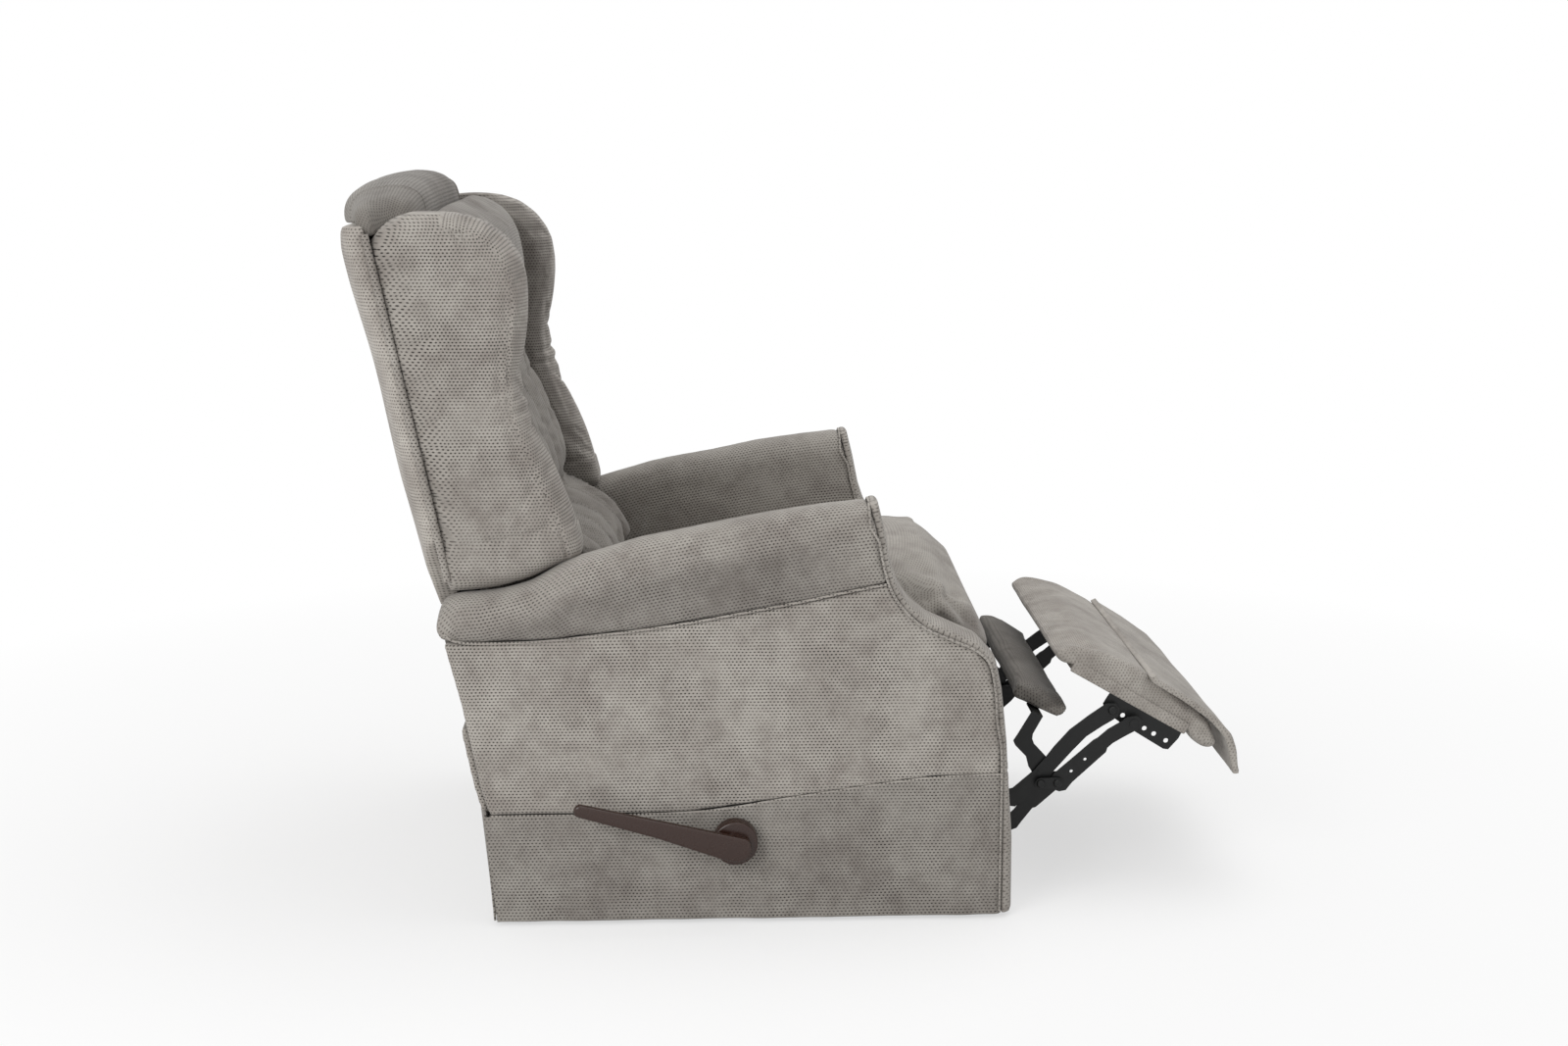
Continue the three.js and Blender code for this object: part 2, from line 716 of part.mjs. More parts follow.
function addLinks(name, sign) {
  const place = (shares) => outline(shares, linkReach, linkRise);
  const span = (layer) => [sign * layerIn(layer), sign * layerOut(layer)];

  const lowerHoles = place(lowerLinkHoleShares).map((center) => [center, 0.65 * rivetRadius]);
  const lower = plate(place(lowerLinkShares), ...span(6), [clearHole(pivots.lower), ...lowerHoles]);
  const stubEnds = [layerOut(3) + fit, layerOut(6) + headHeight].map((reach) => sign * reach);
  const lowerStub = pin(pivots.padFront, rivetHead, ...stubEnds);
  piece(chair, `lower_link_${name}`, join(lower, lowerStub), finishes.steel);

  const knee = plate(place(kneeLinkShares), ...span(2), [clearHole(pivots.seatFront)]);
  const kneePin = pin(pivots.knee, rivetRadius, sign * layerIn(2), sign * layerOut(7));
  const crank = plate(bar(pivots.knee, pivots.lower, crankHalfWidth), ...span(7));
  const crankPin = pin(pivots.lower, rivetRadius, sign * layerIn(6), sign * layerOut(7));
  const crankHead = pin(pivots.lower, rivetHead, sign * layerOut(7), sign * (layerOut(7) + headHeight));
  const kneeHead = pin(pivots.knee, 0.8 * rivetHead, sign * layerOut(7), sign * (layerOut(7) + headHeight));
  const kneeLink = join(knee, kneePin, crank, crankPin, crankHead, kneeHead);
  piece(chair, `knee_link_${name}`, kneeLink, finishes.steel);

  const rearPlate = plate(
    bar(pivots.seatRear, pivots.tail, linkHalfWidth), ...span(4), [clearHole(pivots.seatRear)],
  );
  const tailStub = pin(pivots.tail, rivetHead, sign * layerOut(4), sign * (layerIn(5) - fit));
  piece(chair, `rear_link_${name}`, join(rearPlate, tailStub), finishes.steel);

  const upperPlate = plate(
    place(upperLinkShares), ...span(5), [clearHole(pivots.knee), clearHole(pivots.padRear)],
  );
  const tailHead = pin(pivots.tail, rivetHead, sign * layerOut(5), sign * (layerOut(5) + flushHead));
  const strapFace = layerIn(4) - fit;
  const headEnds = [layerOut(5), layerOut(5) + flushHead].map((reach) => sign * reach);
  const middleRivet = rivet(pivots.middle, layerOut(5), strapFace - headHeight, strapFace, sign);
  const middleHead = pin(pivots.middle, 0.7 * rivetHead, ...headEnds);
  piece(chair, `upper_link_${name}`, join(upperPlate, tailHead, middleRivet, middleHead), finishes.steel);

  const strapPlate = plate(place(strapShares), ...span(4), [clearHole(pivots.middle)]);
  const strapTop = place([strapShares[0], strapShares.at(-1)]);
  const down = squareTo(...strapTop).setLength(steel);
  const tab = [strapTop[0], strapTop[1], strapTop[1].clone().add(down), strapTop[0].clone().add(down)];
  const tabPlate = plate(tab, sign * layerOut(4), sign * (layerOut(4) - tabWidth));
  piece(chair, `middle_strap_${name}`, join(strapPlate, tabPlate), finishes.steel);

  const holes = place(bracketHoleShares).map((center) => [center, bracketHoleRadius]);
  const bracketPlate = plate(place(bracketShares), ...span(3), holes);
  const linkFace = layerOut(5) + fit;
  const rearRivet = rivet(pivots.padRear, layerIn(3), linkFace + headHeight, linkFace, sign);
  const flangeTop = place([bracketShares[2], bracketShares[3]]);
  const under = squareTo(...flangeTop).setLength(steel);
  const flange = [
    flangeTop[0], flangeTop[1], flangeTop[1].clone().add(under), flangeTop[0].clone().add(under),
  ];
  const flangePlate = plate(flange, sign * layerOut(3), sign * (layerOut(3) - flangeWidth));
  const bracket = join(bracketPlate, rearRivet, flangePlate);
  piece(chair, `footrest_bracket_${name}`, bracket, finishes.steel);
}

for (const [name, sign] of Object.entries(side)) {
  addLinks(name, sign);
}

// Seat: steel side plates, timber frame, springs and cushion

const platePlaces = {
  legTop: 66, legFoot: 36, noseTop: 92, nose: -27, noseRear: -60, standFront: -250, standRear: -330,
  deckFoot: 268, deckFront: -110, deckRear: deckRearInset - bodyDepth, bearerWidth: 36,
};

function seatPlate(sign) {
  const p = platePlaces;
  const pivot = new THREE.Vector2(pivotPlace, pivotHeight);
  const points = [
    [p.nose, pivots.seatFront.y - rivetHead], [p.nose, p.noseTop], [p.noseRear, p.noseTop],
    [p.noseRear + p.nose, p.legTop + steel], [p.standFront + p.nose, p.legTop],
    [p.standFront, p.legTop - p.nose],
    [p.standFront, p.deckFoot + p.nose], [p.standFront - p.nose, p.deckFoot], [p.deckFront, p.deckFoot],
    [p.deckFront, seatRailTop], [p.deckRear, seatRailTop], [p.deckRear + p.noseRear, p.deckFoot],
    [p.deckRear, p.deckFoot], [p.standRear, p.deckFoot], [p.standRear, p.legTop],
    [rearRollerPlace + 2 * p.noseRear / 3, p.legTop], [rearRollerPlace + 2 * p.noseRear / 3, p.legFoot],
    [p.noseRear, p.legFoot],
  ].map(([x, z]) => new THREE.Vector2(x, z));
  const body = plate(points, sign * layerIn(3), sign * layerOut(3));
  const arm = plate(
    bar(pivot, new THREE.Vector2(p.deckRear, (p.deckFoot + seatRailTop) / 2), p.bearerWidth / 2),
    sign * layerIn(3), sign * layerOut(3),
  );
  const inside = layerIn(2) - fit;
  const outside = layerOut(4) + fit;
  const frontPin = rivet(pivots.seatFront, layerOut(3), inside - headHeight, inside, sign);
  const rearPin = rivet(pivots.seatRear, layerIn(3), outside + headHeight, outside, sign);
  const backPin = rivet(pivot, layerOut(3), inside - headHeight, inside, sign);
  const rollers = [frontRollerPlace, rearRollerPlace].flatMap((place) => {
    const center = new THREE.Vector2(place, rollerHeight);
    const webIn = railWebOut - steel;
    return [
      pin(center, rollerHub, sign * layerIn(3), sign * (webIn - steel)),
      pin(center, rollerRadius, sign * (webIn - steel - fit), sign * (railWebOut + steel), 16),
    ];
  });
  return join(body, arm, frontPin, rearPin, backPin, ...rollers);
}

for (const [name, sign] of Object.entries(side)) {
  piece(chair, `seat_plate_${name}`, seatPlate(sign), finishes.steel);
  const outside = layerIn(3) - fit;
  const rail = block(
    [sideRailFront - sideRailLength, sideRailFront],
    [sign * sideRailIn, sign * outside],
    [seatRailBase, seatRailTop],
  );
  piece(chair, `seat_rail_${name}`, rail, finishes.timber);
}
const crossHalf = sideRailIn - fit;
const rearEnd = sideRailFront - sideRailLength;
for (const [name, place] of Object.entries({ front: sideRailFront - railDepth, rear: rearEnd })) {
  const rail = block([place, place + railDepth], [-crossHalf, crossHalf], [seatRailBase, seatRailTop]);
  piece(chair, `seat_rail_${name}`, rail, finishes.timber);
}

function zigzagSpring() {
  const rear = rearEnd + railDepth / 2;
  const front = sideRailFront - railDepth / 2;
  const points = [new THREE.Vector3(rear, 0, 0)];
  for (let i = 0; i < springBends; i += 1) {
    const from = THREE.MathUtils.lerp(rear, front, (i + 0.75) / (springBends + 0.5));
    const swing = i % 2 ? springSwing : -springSwing;
    const spread = (front - rear) / (springBends + 0.5) / 4;
    points.push(new THREE.Vector3(from - spread, swing, 0), new THREE.Vector3(from + spread, swing, 0));
  }
  points.push(new THREE.Vector3(front, 0, 0));
  const route = new THREE.CatmullRomCurve3(points, false, 'centripetal');
  const section = new THREE.Shape();
  section.absarc(0, 0, springWire / 2, 0, 2 * Math.PI, false);
  return new THREE.ExtrudeGeometry(section, {
    steps: 4 * springBends + 6, extrudePath: route, curveSegments: 3, bevelEnabled: false,
  });
}

[-1, 0, 1].forEach((place, index) => {
  const mesh = piece(chair, `seat_spring_${index + 1}`, zigzagSpring(), finishes.zinc);
  mesh.position.set(0, place * springPitch, seatRailTop + fit + springWire / 2);
});

const seatShares = [
  [-0.972, 0.16], [-0.955, 0.55], [-0.9, 0.64], [-0.72, 0.73], [-0.48, 0.84], [-0.28, 0.905], [-0.16, 0.925],
  [-0.115, 0.91], [-0.09, 0.845], [-0.064, 0.68], [-0.03, 0.43], [-0.003, 0.22], [0.004, 0.13], [-0.004, 0.055],
  [-0.05, 0], [-0.5, 0], [-0.94, 0],
];

function seatCushion() {
  const height = seatHeight - cushionBase;
  const profile = seatShares.map(([along, up]) => (
    new THREE.Vector2(along * seatDepth, cushionBase + up * height)
  ));
  const half = seatWidth / 2;
  return padded(profile, -half, half, cushionEdge, 8, (point, y) => {
    const share = (point.y - cushionBase) / height;
    const lift = share > 0.5 ? cushionCrown * (share - 0.5) * (1 - (y / half) ** 2) : 0;
    return new THREE.Vector2(point.x, point.y + lift);
  });
}

piece(chair, 'seat_cushion', seatCushion(), finishes.fabric);

// Back, built upright on its own pivot and raked as a group

const back = new THREE.Group();
back.position.set(pivotPlace, 0, pivotHeight);
back.rotation.y = -backRake * Math.PI / 180;
chair.add(back);

for (const [name, sign] of Object.entries(side)) {
  const post = block([0, frameDepth], [sign * (postOut - postWidth), sign * postOut], [frameFoot, frameTop]);
  piece(back, `back_post_${name}`, post, finishes.timber);
}
const frameHalf = postOut - postWidth - fit;
const topRail = block([0, frameDepth], [-frameHalf, frameHalf], [frameTop - railHeight, frameTop]);
piece(back, 'back_rail_top', topRail, finishes.timber);
const bottomRail = block([0, frameDepth], [-frameHalf, frameHalf], [frameFoot, frameFoot + railHeight]);
piece(back, 'back_rail_bottom', bottomRail, finishes.timber);

const backBracketShares = [
  [-0.36, -0.03], [-0.17, -0.07], [0.17, -0.07], [0.44, -0.04], [0.94, 0.21], [0.94, 1], [0.08, 1],
  [0.08, 0.13], [-0.28, 0.09], [-0.39, 0.03],
];
const backBracketHeight = 190;

function backBracket(sign) {
  const points = outline(backBracketShares, frameDepth, backBracketHeight);
  const holes = [clearHole(new THREE.Vector2(0, 0))];
  return plate(points, sign * layerIn(2), sign * layerOut(2), holes);
}

for (const [name, sign] of Object.entries(side)) {
  piece(back, `back_bracket_${name}`, backBracket(sign), finishes.steel);
}

const shellTaperShare = 0.75;
const shellShares = [[0, 0.72], [0.12, 0.9], [0.35, 1], [0.62, 0.98], [0.85, 0.93], [0.95, 0.86], [1, 0.68]];

function outsideBack() {
  const half = shellWidth / 2;
  const rings = [];
  const rows = 12;
  for (let i = 0; i <= rows; i += 1) {
    const across = Math.cos(Math.PI * i / rows);
    const depth = shellEdge + (shellDepth - shellEdge) * Math.sqrt(1 - across ** 2);
    const rear = shellShares.map(([up, share]) => (
      new THREE.Vector3(-depth * share, across * half, THREE.MathUtils.lerp(shellFoot, frameTop, up))
    ));
    const front = shellShares.map(([up]) => (
      new THREE.Vector3(-fit, across * half, THREE.MathUtils.lerp(shellFoot, frameTop, up))
    ));
    rings.push([...rear, ...front.reverse()]);
  }
  const taperAt = (up) => armIn - rollLip + shellTaperShare * (up - shellStep);
  const tapers = Object.values(side).map((sign) => {
    const corners = [[taperAt(-bodyDepth), -bodyDepth], [bodyWidth, -bodyDepth], [taperAt(bodyWidth), bodyWidth]];
    return loft([-bodyDepth, bodyDepth].map((x) => (
      corners.map(([out, up]) => new THREE.Vector3(x, sign * out, up))
    )), frontView);
  });
  return cut(loft(rings, sideView), ...tapers);
}

piece(back, 'outside_back', outsideBack(), finishes.fabric);

const wingShares = [
  [0.002, 0.106], [0.002, 0.3], [0.002, 0.6], [0.002, 0.92], [0.03, 0.973], [0.12, 0.997], [0.28, 1],
  [0.47, 0.989], [0.66, 0.973], [0.81, 0.944], [0.92, 0.898], [0.985, 0.85], [1, 0.79], [0.972, 0.733],
  [0.925, 0.684], [0.868, 0.635], [0.822, 0.57], [0.806, 0.5], [0.818, 0.452], [0.85, 0.397], [0.888, 0.336],
  [0.925, 0.272], [0.952, 0.213], [0.962, 0.165], [0.958, 0.128], [0.9, 0.124], [0.731, 0.114], [0.57, 0.099],
  [0.373, 0.093], [0.231, 0.094], [0.09, 0.101],
];

function wing(sign) {
  const profile = outline(wingShares, wingDepth, wingHeight);
  const [from, to] = sign < 0 ? [-wingOut, -wingIn] : [wingIn, wingOut];
  return padded(profile, from, to, wingEdge, 3);
}

for (const [name, sign] of Object.entries(side)) {
  piece(back, `wing_${name}`, wing(sign), finishes.fabric);
}

function crown() {
  const half = crownWidth / 2;
  const width = crownFront + crownRear;
  const rings = [];
  const rows = 10;
  const steps = 12;
  for (let i = 0; i <= rows; i += 1) {
    const across = -Math.cos(Math.PI * i / rows);
    const fall = 0.3 + 0.7 * Math.sqrt(1 - across ** 4);
    const rise = fall * (crownRise + crownArch * (1 - across ** 2));
    const ring = [];
    for (let k = 0; k <= steps; k += 1) {
      const angle = Math.PI * k / steps;
      const reach = Math.sign(Math.cos(angle)) * Math.abs(Math.cos(angle)) ** 0.8;
      const x = (crownFront - crownRear) / 2 + reach * width / 2 * (0.5 + fall / 2);
      ring.push(new THREE.Vector3(x, across * half, frameTop + fit + rise * Math.sin(angle) ** 0.8));
    }
    rings.push(ring);
  }
  return loft(rings, sideView);
}

piece(back, 'crown_roll', crown(), finishes.fabric);

const headShares = [
  [0.207, 1.025], [0.207, 0.5], [0.207, 0.02], [0.45, 0], [0.72, 0.005], [0.87, 0.05], [0.95, 0.2], [0.99, 0.42],
  [1, 0.62], [0.975, 0.8], [0.9, 0.94], [0.8, 1.01], [0.68, 1.035], [0.57, 1.03], [0.5, 1.025],
];

function headPillow() {
  const height = frameTop - headPillowFoot - innerEdge / 4;
  const profile = headShares.map(([along, up]) => (
    new THREE.Vector2(along * headPillowDepth, headPillowFoot + up * height)
  ));
  const half = innerWidth / 2;
  return padded(profile, -half, half, innerEdge, 8, (point, y) => {
    const belly = point.x > innerEdge + innerRear ? channelDepth * (1 - (y / half) ** 2) - channelDepth : 0;
    return new THREE.Vector2(point.x + belly, point.y);
  });
}

piece(back, 'head_pillow', headPillow(), finishes.fabric);

const innerShares = [
  [0.1445, 0.99], [0.1445, 0.7], [0.1445, 0.35], [0.1445, -0.02], [0.3, -0.055], [0.62, -0.055], [0.9, -0.055],
  [0.985, -0.035], [1, -0.005], [0.955, 0.06], [0.87, 0.16], [0.75, 0.225], [0.655, 0.262], [0.64, 0.3],
  [0.665, 0.34], [0.678, 0.39], [0.66, 0.5], [0.616, 0.65], [0.57, 0.76], [0.555, 0.84], [0.56, 0.92],
  [0.5, 0.985], [0.33, 1],
];

function backCushion() {
  const profile = innerShares.map(([along, up]) => new THREE.Vector2(along * lumbarDepth, up * innerTop));
  const half = innerWidth / 2;
  const front = innerRear + 2 * innerEdge;
  return padded(profile, -half, half, innerEdge, 4 * channelCount, (point, y) => {
    if (point.x < front) {
      return point;
    }
    const wave = Math.abs(Math.sin(channelCount * Math.PI * (y + half) / (2 * half)));
    return new THREE.Vector2(point.x - channelDepth * (1 - wave), point.y);
  });
}

piece(back, 'back_cushion', backCushion(), finishes.fabric);

// Footrest, laid out along its board and tilted as a group

const footrest = new THREE.Group();
const boardStart = linkPlace(0.6216, 1.2343);
footrest.position.set(boardStart.x, 0, boardStart.y);
footrest.rotation.y = footrestTilt * Math.PI / 180;
chair.add(footrest);

const boardHalf = footrestWidth / 2 - boardInset;
const board = block([boardRear, boardFront], [-boardHalf, boardHalf], [fit, footrestBoard]);
piece(footrest, 'footrest_board', board, finishes.timber);

const padShares = [
  [-0.03, 0.01], [-0.066, 0.18], [-0.072, 0.42], [-0.04, 0.68], [0.03, 0.84], [0.18, 0.93], [0.34, 0.96],
  [0.4, 0.93], [0.43, 0.83], [0.61, 0.8], [0.79, 0.7], [0.875, 0.48], [0.915, 0.18], [0.9, -0.08],
  [0.86, -0.15], [0.79, -0.12], [0.75, 0.01],
];

function footrestPad() {
  const profile = outline(padShares, footrestLength, footrestLoft);
  const half = footrestWidth / 2;
  const pad = padded(profile, -half, half, footrestEdge, 5);
  const pocket = block(
    [boardRear - fit, boardFront + fit],
    [-boardHalf - fit, boardHalf + fit],
    [-cutOverrun, footrestBoard + fit],
  );
  return cut(pad, pocket);
}

piece(footrest, 'footrest_pad', footrestPad(), finishes.fabric);

function frontFlap() {
  const under = outline(padShares.slice(7, 13), footrestLength, footrestLoft);
  const near = shifted(under, 2 * fit);
  const tip = near.at(-1);
  near.push(new THREE.Vector2(tip.x + 0.28 * flapOverhang, tip.y - 0.45 * flapOverhang));
  near.push(new THREE.Vector2(tip.x + 0.62 * flapOverhang, tip.y - 0.82 * flapOverhang));
  const far = shifted(near, flapThickness);
  const profile = [...near, ...far.reverse()];
  const half = footrestWidth / 2 + boardInset;
  return padded(profile, -half, half, flapEdge, 4);
}

piece(footrest, 'front_flap', frontFlap(), finishes.fabric);

// Middle pad between the seat and the footrest

const middleShares = [
  [0.34, 0.917], [0.36, 0.96], [0.42, 0.995], [0.63, 0.988], [0.89, 0.955], [1.12, 0.91], [1.33, 0.872],
  [1.33, 0.85], [1.25, 0.82], [1.1, 0.812], [0.86, 0.846], [0.6, 0.882],
];

function middlePad() {
  const profile = outline(middleShares, middleLength, middleHeight);
  const half = middleWidth / 2;
  return padded(profile, -half, half, middleEdge, 4);
}

piece(chair, 'middle_pad', middlePad(), finishes.fabric);

// The origin is put under the middle of the whole chair, on the floor
const bounds = new THREE.Box3().setFromObject(chair, true);
const middle = bounds.getCenter(new THREE.Vector3());
chair.position.set(-middle.x, -middle.y, -bounds.min.z);

const recliner = new THREE.Group();
recliner.name = 'recliner';
recliner.add(chair);

export default recliner;
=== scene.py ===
import json
import math

import bmesh
import bpy
import numpy as np
from mathutils import Matrix, Vector, noise

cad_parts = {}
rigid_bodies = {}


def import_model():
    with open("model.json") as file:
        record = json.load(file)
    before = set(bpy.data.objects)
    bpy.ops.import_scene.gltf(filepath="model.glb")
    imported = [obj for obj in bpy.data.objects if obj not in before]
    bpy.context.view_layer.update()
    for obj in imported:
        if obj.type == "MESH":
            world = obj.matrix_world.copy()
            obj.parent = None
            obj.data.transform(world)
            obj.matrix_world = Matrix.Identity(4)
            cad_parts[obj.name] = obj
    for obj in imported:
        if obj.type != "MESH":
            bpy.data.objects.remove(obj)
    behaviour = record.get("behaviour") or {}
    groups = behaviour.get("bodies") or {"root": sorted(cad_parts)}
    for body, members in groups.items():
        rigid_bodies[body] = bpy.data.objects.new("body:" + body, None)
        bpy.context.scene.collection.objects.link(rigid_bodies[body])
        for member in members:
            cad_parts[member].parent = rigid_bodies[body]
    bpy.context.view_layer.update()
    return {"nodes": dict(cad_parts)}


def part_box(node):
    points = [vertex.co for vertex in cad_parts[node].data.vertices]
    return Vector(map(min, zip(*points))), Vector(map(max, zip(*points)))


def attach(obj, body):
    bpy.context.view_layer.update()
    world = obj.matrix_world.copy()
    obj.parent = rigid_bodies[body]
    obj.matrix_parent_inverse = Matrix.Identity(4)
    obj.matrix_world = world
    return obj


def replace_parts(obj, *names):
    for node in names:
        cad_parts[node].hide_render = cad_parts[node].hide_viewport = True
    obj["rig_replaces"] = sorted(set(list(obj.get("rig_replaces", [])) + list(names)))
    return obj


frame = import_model()
scene = bpy.context.scene
print("frame loaded:", len(frame["nodes"]), "nodes")

# The side view is laid out in millimetres from the front of the arms, which the row frame shifts
rowShift = (304.744, 22.0)
sides = {"right": -1, "left": 1}
backPivot = (-800.0, 440.0)
backRake = math.radians(11.5)
footrestStart = (115.0, 353.0)
footrestTilt = math.radians(30)


def toRow(along, y, up):
    return Vector(((along + rowShift[0]) / 1000, (y + rowShift[1]) / 1000, up / 1000))


def backRow(along, y, up):
    cosine, sine = math.cos(backRake), math.sin(backRake)
    x = backPivot[0] + along * cosine - up * sine
    return toRow(x, y, backPivot[1] + along * sine + up * cosine)


# Camera, at the photograph's viewing angle

cameraPlace = {
    "lens": 50.0, "sensor": 36.0, "location": (-0.13766, -3.4391, 1.2124),
    "yaw": 2.226, "pitch": -11.13, "roll": -0.089,
}


def makeCamera(place):
    data = bpy.data.cameras.new("camera")
    data.lens, data.sensor_width = place["lens"], place["sensor"]
    camera = bpy.data.objects.new("camera", data)
    scene.collection.objects.link(camera)
    camera.location = place["location"]
    yaw, pitch = math.radians(place["yaw"]), math.radians(place["pitch"])
    level = math.cos(pitch)
    ahead = Vector((math.sin(yaw) * level, math.cos(yaw) * level, math.sin(pitch)))
    turn = ahead.to_track_quat("-Z", "Y").to_matrix()
    turn = turn @ Matrix.Rotation(math.radians(place["roll"]), 3, "Z")
    camera.rotation_euler = turn.to_euler()
    scene.camera = camera


makeCamera(cameraPlace)


# Shader maths as plain expressions

class Wire:
    def __init__(self, shader, socket):
        self.shader, self.socket = shader, socket

    def math(self, operation, *others):
        return self.shader.math(operation, self, *others)

    def __add__(self, other):
        return self.math("ADD", other)

    def __sub__(self, other):
        return self.math("SUBTRACT", other)

    def __rsub__(self, other):
        return self.shader.math("SUBTRACT", other, self)

    def __mul__(self, other):
        return self.math("MULTIPLY", other)

    def __truediv__(self, other):
        return self.math("DIVIDE", other)

    def clamp(self):
        return self.shader.node("ShaderNodeClamp", {}, Value=self)["Result"]


class Shader:
    def __init__(self, owner, surface="Principled BSDF"):
        owner.use_nodes = True
        self.owner, self.tree = owner, owner.node_tree
        self.surface = self.tree.nodes[surface]

    def feed(self, socket, value):
        if isinstance(value, Wire):
            self.tree.links.new(value.socket, socket)
        else:
            socket.default_value = value

    def node(self, kind, settings, **values):
        made = self.tree.nodes.new(kind)
        for key, value in settings.items():
            setattr(made, key, value)
        for key, value in values.items():
            index = int(key[1:]) if key[1:].isdigit() else key.replace("_", " ")
            self.feed(made.inputs[index], value)
        return {out.name: Wire(self, out) for out in made.outputs if out.enabled}

    def math(self, operation, *values):
        inputs = {f"i{k}": value for k, value in enumerate(values)}
        return self.node("ShaderNodeMath", {"operation": operation}, **inputs)["Value"]

    def mix(self, factor, first, second, kind="MIX"):
        settings = {"data_type": "RGBA", "blend_type": kind}
        return self.node("ShaderNodeMix", settings, i0=factor, i6=first, i7=second)["Result"]

    def noise(self, place, scale, detail=2.0, roughness=0.5):
        values = {"Vector": place, "Scale": scale, "Detail": detail, "Roughness": roughness}
        return self.node("ShaderNodeTexNoise", {}, **values)["Fac"]

    def finish(self, colour=None, height=None, relief=0.0, strength=1.0, **values):
        for key, value in values.items():
            self.feed(self.surface.inputs[key.replace("_", " ")], value)
        if colour is not None:
            self.feed(self.surface.inputs["Base Color"], colour)
        if height is not None:
            values = {"Strength": strength, "Distance": relief, "Height": height}
            bump = self.node("ShaderNodeBump", {}, **values)
            self.feed(self.surface.inputs["Normal"], bump["Normal"])
        return self.owner


knitLook = {
    # The pin colour marks the pin holes and is also the dark end of the painted shade
    "light": (0.425, 0.4, 0.363), "dark": (0.222, 0.197, 0.177), "pin": (0.014, 0.011, 0.009),
    "row": 0.0047, "stitch": 0.0058, "relief": 0.0014,
    # Each piece's first number is painted light: lit and shaded copies of the one knit, lighter or
    # darker by where light falls; the second is how deep the pin holes show
    "paintedLightAndPins": {
        "wing": (1.03, 1.0), "panel": (1.12, 1.0), "roll": (1.0, 0.9), "skirt": (0.86, 0.95),
        "shell": (1.28, 0.8), "crown": (0.76, 0.7), "pillow": (0.7, 0.6), "cushion": (0.7, 0.5),
        "seat": (1.02, 0.45), "facing": (1.06, 0.75), "pad": (1.12, 0.5), "flap": (1.1, 0.5),
        "middle": (0.82, 0.6),
    },
    "noises": {
        "wander": (45.0, 1.0), "yarn": (750.0, 2.0, 0.7), "broad": (8.0, 3.0, 0.6),
        "fine": (30.0, 4.0, 0.7), "openness": (14.0, 3.0, 0.6),
    },
    "surface": {
        "Roughness": 0.92, "Sheen_Weight": 0.16, "Sheen_Roughness": 0.5, "Specular_IOR_Level": 0.2,
    },
}


def makeKnit(zone, look):
    # The level makes this piece's knit lighter or darker as painted light and shade
    level, pinDepth = look["paintedLightAndPins"][zone]
    light, dark, pinAndShadeTone = (
        (*(channel * level for channel in look[key]), 1) for key in ("light", "dark", "pin")
    )
    shader = Shader(bpy.data.materials.new(f"knit_{zone}"))
    place = shader.node("ShaderNodeTexCoord", {})["Object"]
    cloth = shader.node("ShaderNodeUVMap", {"uv_map": "weave"})["UV"]
    axes = shader.node("ShaderNodeSeparateXYZ", {}, Vector=cloth)
    wander, yarn, broad, fine, openness = (
        shader.noise(place, *values) for values in look["noises"].values()
    )
    along = axes["X"] / look["stitch"] + wander * 0.5
    up = axes["Y"] / look["row"] + wander * 0.3
    stagger = (up.math("FLOOR") * 0.5).math("FRACT")
    across = (along + stagger).math("FRACT") - 0.5
    inRow = up.math("FRACT") - 0.5
    pin = (1.7 - (across * across * 21.0 + inRow * inRow * 26.0)).clamp()
    stitch = ((along + stagger) * math.tau).math("COSINE") * 0.5 + 0.5  # 1 between the holes
    rib = (inRow * math.tau).math("COSINE") * 0.5 + 0.5
    patch = (broad * 2.4 + fine * 2.2 - 1.85).clamp()
    showing = ((openness * 2.6 - 0.7).clamp() * 0.55 + 0.45) * pinDepth
    tone = shader.mix(patch * 0.75, light, dark)
    shade = (yarn * 0.85 - 0.25 + (rib * 0.3 - stitch * 0.16) * showing).clamp()
    tone = shader.mix(shade, tone, dark)
    nap = shader.node("ShaderNodeAttribute", {"attribute_name": "nap"})["Fac"]  # painted shade: 1 where lit, lower where shaded
    # Painted shade darkens the knit towards the pin tone
    tone = shader.mix((1.0 - nap).clamp(), tone, pinAndShadeTone)
    colour = shader.mix((pin * showing).clamp(), tone, pinAndShadeTone)
    height = yarn * 0.45 - rib * 0.3 - pin * showing
    return shader.finish(colour, height, look["relief"], 0.6, **look["surface"])


plainLook = {"noise": (4.0, 0.6), "relief": 0.0004, "strength": 0.35, "roughSwing": 0.16}


def makePlain(name, colour, spread, scale, rough, **values):
    shader = Shader(bpy.data.materials.new(name))
    place = shader.node("ShaderNodeTexCoord", {})["Object"]
    grain = shader.noise(place, scale, *plainLook["noise"])
    darker = tuple(channel * (1 - spread) for channel in colour[:3]) + (1,)
    tone = shader.mix(grain, colour, darker)
    roughness = grain * plainLook["roughSwing"] + rough
    return shader.finish(
        tone, grain, plainLook["relief"], plainLook["strength"], Roughness=roughness, **values)


